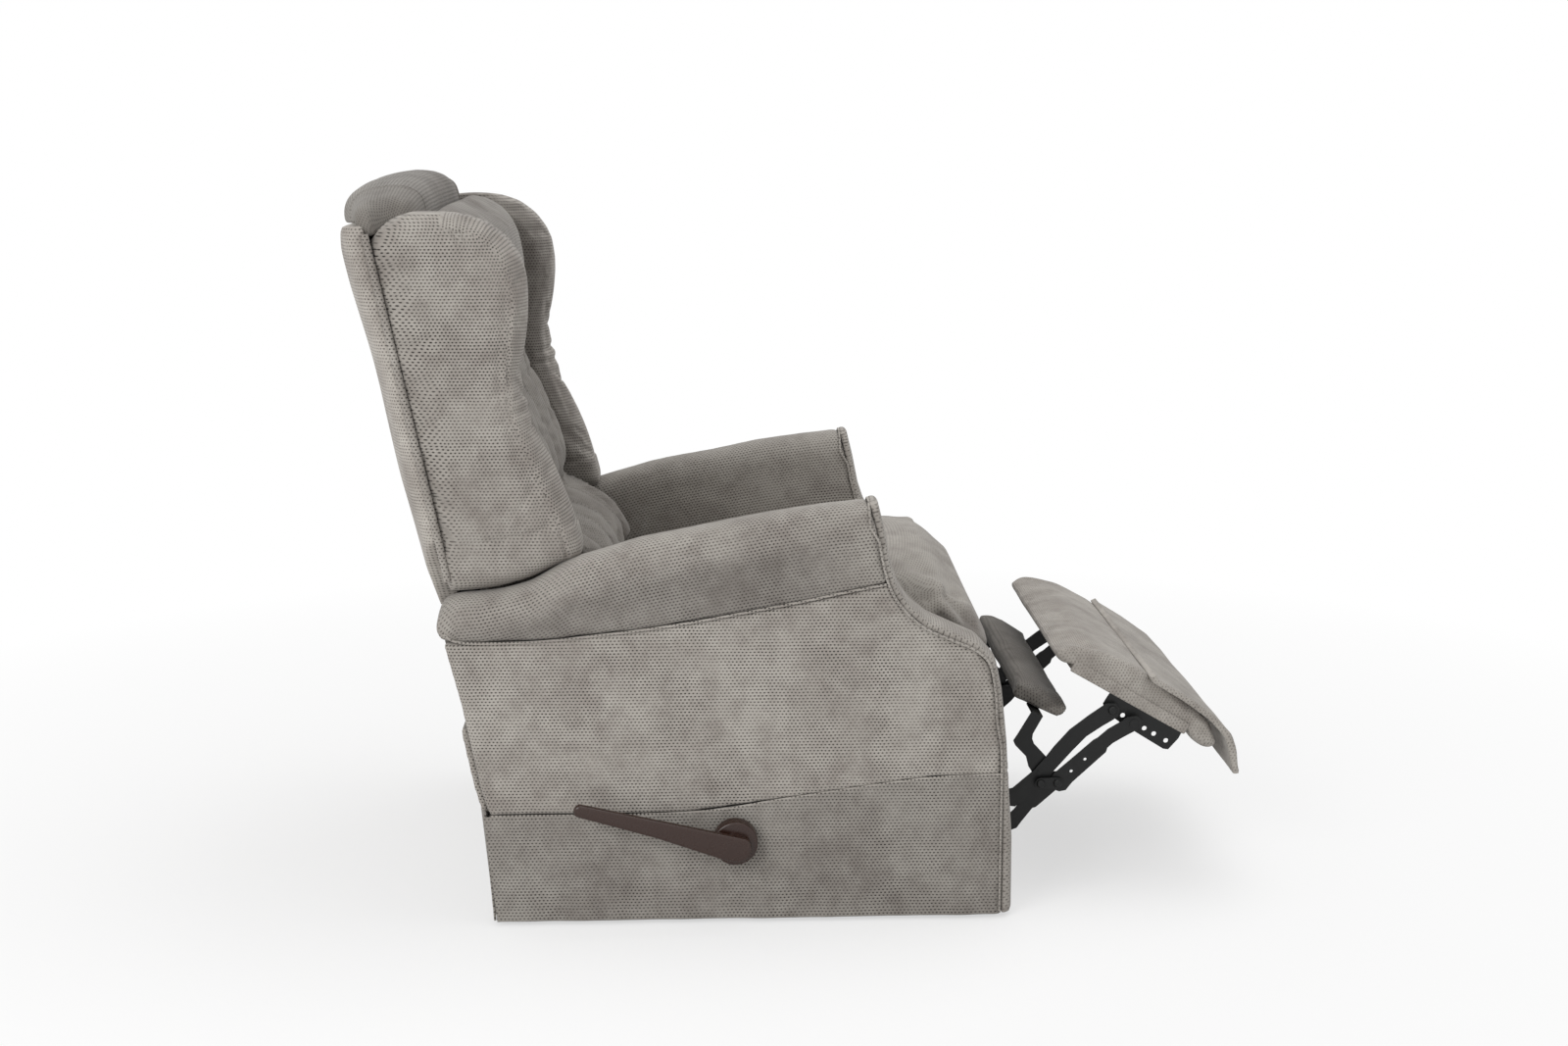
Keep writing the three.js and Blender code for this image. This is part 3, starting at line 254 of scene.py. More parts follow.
finishes = {
    **{zone: makeKnit(zone, knitLook) for zone in knitLook["paintedLightAndPins"]},
    "steel": makePlain(
        "blackSteel", (0.0085, 0.009, 0.009, 1), 0.4, 60.0, 0.36, Specular_IOR_Level=0.35),
    "moulding": makePlain("leverMoulding", (0.034, 0.0135, 0.0082, 1), 0.2, 160.0, 0.2),
    "glide": makePlain("glidePlastic", (0.012, 0.012, 0.013, 1), 0.3, 80.0, 0.5),
    "wire": makePlain("springWire", (0.4, 0.41, 0.42, 1), 0.3, 200.0, 0.3, Metallic=1.0),
    "lining": makePlain(
        "liningCloth", (0.24, 0.222, 0.2, 1), 0.45, 420.0, 0.85, Specular_IOR_Level=0.2),
}
print("materials made")


# Mesh helpers

def addPiece(name, mesh):
    piece = bpy.data.objects.new(name, mesh)
    scene.collection.objects.link(piece)
    return piece


def fromBmesh(name, bm):
    mesh = bpy.data.meshes.new(name)
    bm.to_mesh(mesh)
    bm.free()
    return addPiece(name, mesh)


def settle(piece):
    graph = bpy.context.evaluated_depsgraph_get()
    mesh = bpy.data.meshes.new_from_object(piece.evaluated_get(graph))
    piece.modifiers.clear()
    piece.data = mesh


def readPoints(piece):
    points = np.empty(len(piece.data.vertices) * 3)
    piece.data.vertices.foreach_get("co", points)
    return points.reshape(-1, 3)


def writePoints(piece, points):
    piece.data.vertices.foreach_set("co", points.ravel())
    piece.data.update()


def readNormals(piece):
    normals = np.empty(len(piece.data.vertices) * 3)
    piece.data.vertex_normals.foreach_get("vector", normals)
    return normals.reshape(-1, 3)


def relax(piece, rounds):
    even = piece.modifiers.new("even", "SMOOTH")
    even.factor, even.iterations = 0.5, rounds
    settle(piece)


mergeDistance = 1e-5


def softCopy(node, name, look):
    bm = bmesh.new()
    bm.from_mesh(frame["nodes"][node].data)
    bmesh.ops.remove_doubles(bm, verts=bm.verts, dist=mergeDistance)
    piece = fromBmesh(name, bm)
    piece.data.materials.clear()
    remesh = piece.modifiers.new("remesh", "REMESH")
    remesh.mode, remesh.voxel_size, remesh.use_smooth_shade = "VOXEL", look["voxel"], True
    settle(piece)
    relax(piece, look["rounds"])
    return piece


def subdivide(piece):
    finer = piece.modifiers.new("finer", "SUBSURF")
    finer.levels = finer.render_levels = 1
    settle(piece)


def sideView(points):
    return np.stack([points[:, 0] * 1000 - rowShift[0], points[:, 2] * 1000], 1)


def outward(points):
    return points[:, 1] * 1000 - rowShift[1]


def turned(view, start, angle):
    along, up = view[:, 0] - start[0], view[:, 1] - start[1]
    cosine, sine = math.cos(angle), math.sin(angle)
    return np.stack([along * cosine + up * sine, up * cosine - along * sine], 1)


def backView(points):
    return turned(sideView(points), backPivot, backRake)


def backPlaces(piece):
    points = readPoints(piece)
    return backView(points), outward(points)


def padView(points):
    return turned(sideView(points), footrestStart, -footrestTilt)


def smoothLine(knots, count=6):
    knots = np.array(knots, float)
    ends = np.vstack([2 * knots[0] - knots[1], knots, 2 * knots[-1] - knots[-2]])
    line = []
    for k in range(len(knots) - 1):
        a, b, c, d = ends[k:k + 4]
        for t in np.linspace(0, 1, count, endpoint=False):
            line.append(0.5 * (2 * b + (c - a) * t + (2 * a - 5 * b + 4 * c - d) * t * t
                               + (3 * b - a - 3 * c + d) * t ** 3))
    line.append(knots[-1])
    return np.array(line)


def lineGap(view, line):
    gap, along, run = np.full(len(view), np.inf), np.zeros(len(view)), 0.0
    for start, end in zip(line[:-1], line[1:]):
        step = end - start
        length = np.linalg.norm(step)
        share = np.clip(((view - start) @ step) / length ** 2, 0, 1)
        reach = np.linalg.norm(view - start - share[:, None] * step, axis=1)
        closer = reach < gap
        gap[closer] = reach[closer]
        along[closer] = run + share[closer] * length
        run += length
    return gap, along


def bell(values, width):
    return np.exp(-((values / width) ** 2))


def ease(values, start, end):
    share = np.clip((values - start) / (end - start), 0, 1)
    return share * share * (3 - 2 * share)


pressLook = {"samples": 8, "weltGap": 2.4, "weltWidth": 1.2, "puckerPitch": 11.0}


def press(piece, view, line, width, depth, mask=1.0, welt=0.0, pucker=0.0):
    look = pressLook
    gap, along = lineGap(view, smoothLine(line, look["samples"]))
    gather = 1 + pucker * np.sin(along * 2 * np.pi / look["puckerPitch"])
    sink = depth * bell(gap, width) * gather
    rise = welt * bell(gap - look["weltGap"] * width, look["weltWidth"] * width)
    shift = (rise - sink) * mask / 1000
    writePoints(piece, readPoints(piece) + readNormals(piece) * shift[:, None])


def ripple(piece, shape, turn=0, mask=1.0):
    amount, scale, seed = shape
    points = readPoints(piece)
    start = Vector((seed + turn, 0, 0))
    swell = np.array([noise.noise(Vector(p) * scale + start) for p in points])
    writePoints(piece, points + readNormals(piece) * (swell * amount * mask / 1000)[:, None])


def slide(piece, angle, along, up):
    points = readPoints(piece)
    cosine, sine = math.cos(angle), math.sin(angle)
    points[:, 0] += (along * cosine - up * sine) / 1000
    points[:, 2] += (along * sine + up * cosine) / 1000
    writePoints(piece, points)


def weave(piece, along, up, zones=(), nap=1.0):
    mesh = piece.data
    # The vertex attribute holds painted shade: 1 where lit, lower where shaded
    tone = mesh.attributes.get("nap") or mesh.attributes.new("nap", "FLOAT", "POINT")
    tone.data.foreach_set("value", np.broadcast_to(nap, len(mesh.vertices)).astype(np.float32))
    layer = mesh.uv_layers.get("weave") or mesh.uv_layers.new(name="weave")
    corner = np.empty(len(mesh.loops), int)
    mesh.loops.foreach_get("vertex_index", corner)
    flat = np.stack([along[corner], up[corner]], 1) / 1000
    if zones:
        sizes = np.array([len(face.vertices) for face in mesh.polygons])
        starts = np.array([face.loop_start for face in mesh.polygons])
    for zoneAlong, zoneUp, inZone in zones:
        share = np.add.reduceat(inZone[corner].astype(float), starts) / sizes
        there = np.repeat(share > 0.5, sizes)
        flat[there] = np.stack([zoneAlong[corner], zoneUp[corner]], 1)[there] / 1000
    layer.data.foreach_set("uv", flat.ravel())


def weaveSides(piece, view):
    out = outward(readPoints(piece))
    weave(piece, view[:, 0] + np.abs(out), view[:, 1])


sideFacing = 0.7  # how far a face looks sideways before it takes the side's weave


def weaveOver(piece, view, nap=1.0, turn=-1.0):
    out, top = outward(readPoints(piece)), view[:, 1].max()
    onSide = np.abs(readNormals(piece)[:, 1]) > sideFacing
    side = (np.abs(out) - view[:, 1] + top, view[:, 0], onSide)
    # Where turn is -1 the rows run on down in front, and where it is 1 they do so behind
    weave(piece, out, view[:, 0] + turn * (view[:, 1] - top), [side], nap)


def dress(piece, finish, body, *nodes):
    piece.data.materials.clear()
    piece.data.materials.append(finishes[finish])
    for face in piece.data.polygons:
        face.use_smooth = True
    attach(piece, body)
    if nodes:
        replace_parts(piece, *nodes)


puffing = {
    "pressure": 4.0, "frames": 20, "quality": 4, "mass": 0.3,
    "stretch": 15, "shear": 5, "bending": 0.5, "least": 1e-9,
}


def puff(piece, held, tuck, cap, slack):
    start = readPoints(piece)
    tucked = start - readNormals(piece) * tuck / 1000
    tucked[held] = start[held]
    writePoints(piece, tucked)
    group = piece.vertex_groups.new(name="held")
    group.add([int(k) for k in np.flatnonzero(held)], 1.0, "REPLACE")
    cloth = piece.modifiers.new("puff", "CLOTH")
    settings = cloth.settings
    settings.quality = puffing["quality"]
    settings.mass = puffing["mass"]
    settings.tension_stiffness = settings.compression_stiffness = puffing["stretch"]
    settings.shear_stiffness = puffing["shear"]
    settings.bending_stiffness = puffing["bending"]
    settings.use_pressure = True
    settings.uniform_pressure_force = puffing["pressure"]
    settings.effector_weights.gravity = 0
    settings.vertex_group_mass = "held"
    settings.shrink_min = -slack
    cloth.point_cache.frame_start, cloth.point_cache.frame_end = 1, puffing["frames"]
    for step in range(1, puffing["frames"] + 1):
        scene.frame_set(step)
    shown = piece.evaluated_get(bpy.context.evaluated_depsgraph_get()).data
    moved = np.empty(len(start) * 3)
    shown.vertices.foreach_get("co", moved)
    piece.modifiers.clear()
    piece.vertex_groups.clear()
    move = moved.reshape(-1, 3) - tucked
    length = np.linalg.norm(move, axis=1)
    move *= np.minimum(1, cap / 1000 / np.maximum(length, puffing["least"]))[:, None]
    writePoints(piece, tucked + move)
    scene.frame_set(1)
    print("puffed", piece.name, "by", round(length.mean() * 1000, 1), "mm on average")


def sharpen(piece, degrees):
    piece.data.set_sharp_from_angle(angle=math.radians(degrees))


def makeCord(name, path, radius, finish, body):
    curve = bpy.data.curves.new(name, "CURVE")
    curve.dimensions, curve.bevel_depth, curve.bevel_resolution = "3D", radius / 1000, 3
    curve.use_fill_caps = True
    spline = curve.splines.new("POLY")
    spline.points.add(len(path) - 1)
    for point, place in zip(spline.points, path):
        point.co = (*place, 1)
    holder = addPiece(name + "Curve", curve)
    graph = bpy.context.evaluated_depsgraph_get()
    cord = addPiece(name, bpy.data.meshes.new_from_object(holder.evaluated_get(graph)))
    bpy.data.objects.remove(holder)
    places = readPoints(cord) * 1000
    weave(cord, places[:, 0], places[:, 2])
    dress(cord, finish, body)


def roundEdges(bm, edges, radius, segments=3):
    bmesh.ops.bevel(
        bm, geom=edges, offset=radius, segments=segments, profile=0.5, affect="EDGES", material=-1)


# Arms

armRollLook = {
    "voxel": 0.006, "rounds": 10, "ripple": (2.0, 11.0, 3.0), "radius": 46.0, "centre": 337.5,
    "top": (
        [-820, -798, -762, -733, -692, -634, -533, -443, -344, -258, -198, 0],
        [480, 498, 501, 507, 519, 549, 578, 596, 614, 627, 633, 633],
    ),
    "rear": ([250, 340, 377, 429, 440], [-768, -792, -803, -813, -830]),
    "drop": 14.0, "foot": (304, 330),
    "outerShade": 0.3, "outerEdge": (368, 386), "rearward": (150, 330), "below": (30, 70),
    "innerShade": 0.12, "innerEdge": (300, 345), "endFacing": 0.7,
}
armPanelLook = {"voxel": 0.005, "rounds": 5, "ripple": (2.2, 6.5, 9.0), "face": 380}
armFrontLook = {
    "voxel": 0.004, "rounds": 6,
    "seam": [
        (-198, 633), (-187, 587), (-177, 537), (-166, 503), (-146, 474), (-116, 448), (-75, 429),
        (-42, 414), (-21, 392), (-12, 349), (-9, 306), (-3, 270), (-1, 229), (-1, 120), (-1, 10),
    ],
    "crossSeam": {
        "line": [(-60, 224), (0, 224), (60, 224)], "width": 3.5, "depth": 2.2, "welt": 0.6,
    },
}
pipingLook = {
    "radius": 1.9, "outer": 386.3, "inner": 289.6, "archSteps": 12, "archFoot": 585,
    "along": -198.5, "centre": 337.7, "halfWidth": 49, "rise": 48, "flatness": 0.8,
}
armSeamLook = {
    "radius": 2.0,
    "top": (383.8, [
        (-818, 449), (-792, 434), (-708, 433), (-653, 436), (-599, 442), (-551, 447), (-465, 459),
        (-380, 474), (-295, 490), (-238, 502), (-174, 514),
    ]),
    "low": (383.6, [
        (-2, 224), (-106, 220), (-204, 208), (-325, 190.5), (-469, 171.5), (-757, 169.6),
    ]),
}


def makeArmRoll(name, sign, look):
    roll = softCopy(f"arm_pad_{name}", f"armRoll_{name}", look)
    points = readPoints(roll)
    view = sideView(points)
    rear = np.interp(view[:, 1], *look["rear"])
    points[:, 0] += np.maximum(rear - view[:, 0], 0) / 1000  # below the roll, the end slants
    points[:, 2] -= look["drop"] / 1000 * (1 - ease(view[:, 1], *look["foot"]))
    writePoints(roll, points)
    subdivide(roll)
    ripple(roll, look["ripple"], sign)
    points = readPoints(roll)
    view, out = sideView(points), outward(points) * sign
    top = np.interp(view[:, 0], *look["top"])
    centre = top - look["radius"]
    angle = np.arctan2(view[:, 1] - centre, out - look["centre"])
    outerWrap = view[:, 1] - centre
    innerWrap = math.pi * look["radius"] + centre - view[:, 1]
    wrap = np.where(out > look["centre"], outerWrap, innerWrap)
    wrap = np.where(view[:, 1] > centre, angle * look["radius"], wrap)
    # Painted shade on the outer side below the top towards the rear, and on the inner side
    outside = ease(out, *look["outerEdge"]) * ease(-view[:, 0], *look["rearward"])
    below = ease(top - view[:, 1], *look["below"])
    nap = 1 - look["outerShade"] * outside * below
    nap -= look["innerShade"] * (1 - ease(out, *look["innerEdge"]))
    rearEnd = (out, view[:, 1], readNormals(roll)[:, 0] < -look["endFacing"])
    weave(roll, view[:, 0], wrap, [rearEnd], nap)
    dress(roll, "roll", "base", f"arm_pad_{name}")


def makeArmPanel(name, sign, look):
    panel = softCopy(f"outer_panel_{name}", f"armPanel_{name}", look)
    ripple(panel, look["ripple"], sign, outward(readPoints(panel)) * sign > look["face"])
    weaveSides(panel, sideView(readPoints(panel)))
    dress(panel, "panel", "base", f"outer_panel_{name}")


def makeArmFront(name, look):
    front = softCopy(f"front_facing_{name}", f"armFront_{name}", look)
    points = readPoints(front)
    view = sideView(points)
    press(front, view, **look["crossSeam"])
    along = lineGap(view, smoothLine(look["seam"]))[1]
    weave(front, outward(points), along)
    dress(front, "facing", "base", f"front_facing_{name}")


def makePiping(name, sign, look):
    line = smoothLine(armFrontLook["seam"])
    outer, inner = (
        [p for p in (toRow(x, sign * y, z) for x, z in line) if p.z < look["archFoot"] / 1000]
        for y in (look["outer"], look["inner"])
    )
    arch = []
    for k in range(1, look["archSteps"]):
        turn = math.pi * k / look["archSteps"]
        y = look["centre"] + look["halfWidth"] * math.cos(turn)
        up = look["archFoot"] + look["rise"] * math.sin(turn) ** look["flatness"]
        arch.append(toRow(look["along"], sign * y, up))
    path = [*reversed(outer), *arch, *inner]
    makeCord(f"armPiping_{name}", path, look["radius"], "facing", "base")


def makeArmSeams(name, sign, look):
    for label in ("top", "low"):
        y, line = look[label]
        path = [toRow(x, sign * y, z) for x, z in smoothLine(line)]
        makeCord(f"armSeam_{label}_{name}", path, look["radius"], "panel", "base")


def hangCloth(name, corners, thickness, columns, rows):
    bm = bmesh.new()
    bmesh.ops.create_grid(bm, x_segments=columns, y_segments=rows, size=0.5)
    for vert in bm.verts:
        vert.co = corners(vert.co.x + 0.5, vert.co.y + 0.5)
    bmesh.ops.recalc_face_normals(bm, faces=bm.faces)
    bmesh.ops.solidify(bm, geom=bm.faces, thickness=thickness / 1000)
    bmesh.ops.recalc_face_normals(bm, faces=bm.faces)
    return fromBmesh(name, bm)


hemLook = {"thickness": 3.5, "floor": 7, "height": 24.0, "width": 2.2, "depth": 0.9}
waveLook = {"pitch": 95, "drift": 0.6, "depth": 2.6}
skirtLook = {
    "grid": (300, 80), "start": -758, "length": 757, "face": 386.5, "waveSeed": 3.0,
    "fineWave": {"pitch": 38, "seed": 7.0, "depth": 1.1},
    "slantWave": {"pitch": 60, "seed": 5.0, "drift": 200, "depth": 1.8},
    "lever": (-396, 132), "leverWidth": 60, "leverDepth": 2.6,
    "seamDrop": 0.5, "seamWidth": 5, "seamDepth": 0.8, "edgeWidth": 5, "edgeDepth": 2.5,
    "rearLean": (16, 8), "leanPower": 6,
}


def hemTuck(height):
    return hemLook["depth"] * bell(height - hemLook["height"], hemLook["width"])


def broadWave(place, seed, up):
    spot = Vector((place / waveLook["pitch"], seed, up * waveLook["drift"]))
    return noise.noise(spot) * waveLook["depth"]


def makeSkirt(name, sign, look):
    seam = np.array(armSeamLook["low"][1], float)[::-1]
    fineWave, slantWave = look["fineWave"], look["slantWave"]
    leverAlong, leverUp = look["lever"]
    leanOut, leanIn = look["rearLean"]

    def corner(share, up):
        along = look["start"] + look["length"] * share
        top = np.interp(along, seam[:, 0], seam[:, 1]) - look["seamDrop"]
        height = hemLook["floor"] + (top - hemLook["floor"]) * up
        wave = broadWave(along, sign * look["waveSeed"], up)
        spot = Vector((along / fineWave["pitch"], sign * fineWave["seed"], up))
        wave += noise.noise(spot) * fineWave["depth"]
        slant = (along - height) / slantWave["pitch"]
        spot = Vector((slant, sign * slantWave["seed"], height / slantWave["drift"]))
        wave += noise.noise(spot) * slantWave["depth"]
        dent = look["seamDepth"] * bell(top - height, look["seamWidth"]) + hemTuck(height)
        dent += look["edgeDepth"] * bell((1 - share) * look["length"], look["edgeWidth"])
        if sign < 0:  # drawn in round the lever's shaft
            reach = math.hypot(along - leverAlong, height - leverUp)
            dent += look["leverDepth"] * bell(reach, look["leverWidth"])
        along += (1 - share) ** look["leanPower"] * (leanOut * (1 - up) - leanIn)
        return toRow(along, sign * (look["face"] + wave * (1 - up) - dent), height)

    skirt = hangCloth(f"skirt_{name}", corner, hemLook["thickness"], *look["grid"])
    weaveSides(skirt, sideView(readPoints(skirt)))
    dress(skirt, "skirt", "base", f"side_skirt_{name}")


for name, sign in sides.items():
    makeArmRoll(name, sign, armRollLook)
    makeArmPanel(name, sign, armPanelLook)
    makeArmFront(name, armFrontLook)
    makePiping(name, sign, pipingLook)
    makeArmSeams(name, sign, armSeamLook)
    makeSkirt(name, sign, skirtLook)


rearLook = {
    "voxel": 0.005, "rounds": 4, "ripple": (1.2, 6.0, 5.0), "grid": (280, 60), "width": 762,
    "height": 166, "foot": -754.5, "lean": 19.5, "waveSeed": 11.0,
    "board": 350, "boardWidth": 24, "boardDepth": 4.5, "tuck": 8, "tuckRange": (340, 378),
}


def makeRear(look):
    apron = softCopy("rear_apron", "rearApron", look)
    ripple(apron, look["ripple"])
    weaveSides(apron, sideView(readPoints(apron)))
    dress(apron, "panel", "base", "rear_apron")

    def corner(share, up):
        y = look["width"] * (share - 0.5)
        height = hemLook["floor"] + look["height"] * up
        bulge = broadWave(y, look["waveSeed"], up)
        bulge += look["boardDepth"] * bell(abs(y) - look["board"], look["boardWidth"])
        tuck = look["tuck"] * up * ease(abs(y), *look["tuckRange"])
        along = look["foot"] - look["lean"] * up - bulge * (1 - up) + hemTuck(height) + tuck
        return toRow(along, y, height)

    skirt = hangCloth("skirt_rear", corner, hemLook["thickness"], *look["grid"])
    points = readPoints(skirt)
    weave(skirt, outward(points), points[:, 2] * 1000)
    dress(skirt, "skirt", "base", "rear_skirt")


makeRear(rearLook)
print("arms and skirts made")


# Back

wingLook = {
    "voxel": 0.005, "rounds": 8, "ripple": (1.6, 8.0, 21.0),
    "puff": {"tuck": 3.5, "cap": 6.0, "slack": 0.03}, "held": {"seam": 5, "rear": 4, "foot": 120},
    "frontSeam": [
        (112, 574), (146, 563), (170, 541), (184, 515), (188, 482), (183, 450), (177, 424),
        (166, 398), (156, 366), (149, 325), (149, 281), (157, 241), (165, 204), (171, 166),
        (178, 135), (181, 103), (181, 78),
    ],
    "firstFace": (322, 338), "outerFace": (318, 334),
    "foot": ([0, 14, 49, 79, 122, 155, 185, 212], [64, 61, 55, 55, 61, 71, 84, 96]),
    "footDrop": 4.5, "footRange": (0, 45),
    "topDrop": 9, "topFront": (12, 78), "topRange": (550, 590),
    "seamPress": {"width": 2.8, "depth": 2.4, "welt": 0.9, "pucker": 0.25},
    "creasePress": {"width": 4.5, "welt": 0.8}, "creaseDepth": {"right": 1.6, "left": 2.0},
    "pleatPress": {"width": 2.6, "depth": 2.2, "welt": 0.9},
    "pleats": [[(118, 590), (128, 566), (132, 552)], [(136, 588), (140, 566), (141, 556)]],
    "creases": [[(150, 316), (176, 320)], [(146, 300), (176, 296)]],
    "bandInner": 300, "bandOuter": 385,
    "innerFacing": 0.3, "innerShade": 0.37, "shadeFacing": (0.1, 0.8),
    "cordRadius": 5.6, "cordOut": 342.6, "cord": [(3.4, 78), (3.4, 300), (3.4, 590)],
}


def shapeWing(wing, name, sign, look):
    seam = smoothLine(look["frontSeam"])
    view, out = backPlaces(wing)
    gap, held = lineGap(view, seam)[0], look["held"]
    onSeam = (gap < held["seam"]) & (ease(out * sign, *look["firstFace"]) > 0.5)
    fixed = onSeam | (view[:, 0] < held["rear"]) | (view[:, 1] < held["foot"])
    puff(wing, fixed, **look["puff"])
    view = backView(readPoints(wing))
    above = view[:, 1] - np.interp(view[:, 0], *look["foot"])
    slide(wing, backRake, 0, -look["footDrop"] * (1 - ease(above, *look["footRange"])))
    behind = 1 - ease(view[:, 0], *look["topFront"])
    slide(wing, backRake, 0, -look["topDrop"] * behind * ease(view[:, 1], *look["topRange"]))
    subdivide(wing)
    view, out = backPlaces(wing)
    outerFace = ease(out * sign, *look["outerFace"])
    press(wing, view, look["frontSeam"], mask=outerFace, **look["seamPress"])
    for line in look["creases"]:
        press(wing, view, line, depth=look["creaseDepth"][name], **look["creasePress"])
    for line in look["pleats"]:
        press(wing, view, line, mask=outerFace, **look["pleatPress"])
    ripple(wing, look["ripple"], sign)


def weaveWing(wing, sign, look):
    seam = smoothLine(look["frontSeam"])
    points = readPoints(wing)
    view, out = backView(points), outward(points) * sign
    gap, along = lineGap(view, seam)
    front = np.interp(view[:, 1], seam[::-1, 1], seam[::-1, 0])
    inBand = (view[:, 0] > front) & (out > look["bandInner"])
    level = sideView(points)
    inwards = -readNormals(wing)[:, 1] * sign
    inner = (-level[:, 0] - np.abs(out), level[:, 1], inwards > look["innerFacing"])
    band = (gap + look["bandOuter"] - np.abs(out), along, inBand)
    # Painted shade on the faces that turn inwards
    nap = 1 - look["innerShade"] * ease(inwards, *look["shadeFacing"])
    weave(wing, level[:, 0] - np.abs(out), level[:, 1], [inner, band], nap)


def makeWing(name, sign, look):
    wing = softCopy(f"wing_{name}", f"wingCover_{name}", look)
    shapeWing(wing, name, sign, look)
    weaveWing(wing, sign, look)
    dress(wing, "wing", "back", f"wing_{name}")
    path = [backRow(x, sign * look["cordOut"], z) for x, z in smoothLine(look["cord"], 8)]
    makeCord(f"wingSeam_{name}", path, look["cordRadius"], "wing", "back")


crownLook = {
    "voxel": 0.005, "rounds": 12, "ripple": (2.0, 9.0, 31.0), "apex": 21.0,
    "rearMiddle": 0.91, "rearEnd": 0.5, "rearRange": (150, 300),
    "reach": 33, "reachOut": (230, 300), "reachFront": (3, 50),
    "foot": 20.0, "footRange": (605, 624), "footFront": (-46, -22),
    "seam": 232.0, "seamLean": 0.1, "seamDepth": 4.5, "seamWidth": 3.2,
    "welt": 1.2, "weltGap": 8, "weltWidth": 4,
    "wrapCentre": 565, "wrapRadius": 80, "endHeight": 655, "endRange": (200, 290),
    "seamShade": 0.35, "shadeWidth": 4, "frontShade": 0.22, "shadeFront": (-15, 25),
}


def makeCrown(look):
    crown = softCopy("crown_roll", "crownRoll", look)
    view, out = backPlaces(crown)
    out = np.abs(out)
    keep = look["rearMiddle"]
    keep = keep + (look["rearEnd"] - keep) * ease(out, *look["rearRange"])
    slide(crown, backRake, np.maximum(look["apex"] - view[:, 0], 0) * (1 - keep), 0)
    reach = look["reach"] * ease(out, *look["reachOut"])
    reach = reach * (1 - ease(view[:, 0], *look["reachFront"]))
    points = readPoints(crown)
    points[:, 1] += np.sign(outward(points)) * reach / 1000
    writePoints(crown, points)
    behind = ease(view[:, 0], *look["footFront"])
    sunk = (1 - ease(view[:, 1], *look["footRange"])) * behind
    slide(crown, backRake, 0, -look["foot"] * sunk)  # into the wings and the shell
    subdivide(crown)
    points = readPoints(crown)
    view, out = backView(points), np.abs(outward(points))
    line = out - look["seam"] + look["seamLean"] * np.abs(view[:, 0] - look["apex"])
    dent = look["seamDepth"] * bell(line, look["seamWidth"])
    dent -= look["welt"] * bell(line - look["weltGap"], look["weltWidth"])
    writePoints(crown, points - readNormals(crown) * (dent / 1000)[:, None])
    ripple(crown, look["ripple"])
    turn = np.arctan2(view[:, 0] - look["apex"], view[:, 1] - look["wrapCentre"])
    reach = out + (look["endHeight"] - view[:, 1]) * ease(out, *look["endRange"])
    # Painted shade in the seam and towards the front
    nap = 1 - look["seamShade"] * bell(line, look["shadeWidth"])
    nap = nap * (1 - look["frontShade"] * ease(view[:, 0], *look["shadeFront"]))
    weave(crown, reach, turn * look["wrapRadius"], nap=nap)
    dress(crown, "crown", "back", "crown_roll")


pillowLook = {
    "voxel": 0.006, "rounds": 12, "ripple": (2.0, 7.0, 41.0), "rear": 44,
    "puff": {"tuck": 7.0, "cap": 9.0, "slack": 0.04},
    "topRange": (540, 600), "topDrop": 7, "rearDrop": 10, "rearRange": (70, 110),
}


def makeHeadPillow(look):
    pillow = softCopy("head_pillow", "headPillow", look)
    puff(pillow, backView(readPoints(pillow))[:, 0] < look["rear"], **look["puff"])
    view = backView(readPoints(pillow))
    drop = look["topDrop"] + look["rearDrop"] * (1 - ease(view[:, 0], *look["rearRange"]))
    slide(pillow, backRake, 0, -ease(view[:, 1], *look["topRange"]) * drop)
    ripple(pillow, look["ripple"])
    weaveOver(pillow, backView(readPoints(pillow)))
    dress(pillow, "pillow", "back", "head_pillow")


cushionLook = {
    "voxel": 0.006, "rounds": 8, "ripple": (2.5, 7.0, 51.0), "rear": 44, "foot": 40,
    "puff": {"tuck": 7.0, "cap": 11.0, "slack": 0.04},
    "channelStart": 243, "channelPitch": 97.2, "valley": 4,
}


def makeBackCushion(look):
    cushion = softCopy("back_cushion", "backCushion", look)
    view, out = backPlaces(cushion)
    channel = (out + look["channelStart"]) % look["channelPitch"]
    valley = np.minimum(channel, look["channelPitch"] - channel) < look["valley"]
    held = (view[:, 0] < look["rear"]) | (valley & (view[:, 1] > look["foot"]))
    puff(cushion, held, **look["puff"])
    ripple(cushion, look["ripple"])
    weaveOver(cushion, backView(readPoints(cushion)))
    dress(cushion, "cushion", "back", "back_cushion")


shellLook = {
    "voxel": 0.005, "rounds": 6, "ripple": (1.8, 5.0, 61.0), "top": (350, 590), "side": (150, 300),
    "rear": (2, 8), "middleFill": 6, "sideDraw": 18, "frontFill": 3, "front": (-12, -2),
}


def makeOutsideBack(look):
    shell = softCopy("outside_back", "outsideBack", look)
    view, out = backPlaces(shell)
    fill = look["middleFill"] - look["sideDraw"] * ease(np.abs(out), *look["side"])
    fill = fill * ease(view[:, 1], *look["top"]) * ease(-view[:, 0], *look["rear"])
    slide(shell, backRake, fill + look["frontFill"] * ease(view[:, 0], *look["front"]), 0)
    ripple(shell, look["ripple"])
    weaveSides(shell, sideView(readPoints(shell)))
    dress(shell, "shell", "back", "outside_back")


for name, sign in sides.items():
    makeWing(name, sign, wingLook)
makeCrown(crownLook)
makeHeadPillow(pillowLook)
makeBackCushion(cushionLook)
makeOutsideBack(shellLook)
print("back made")


# Seat

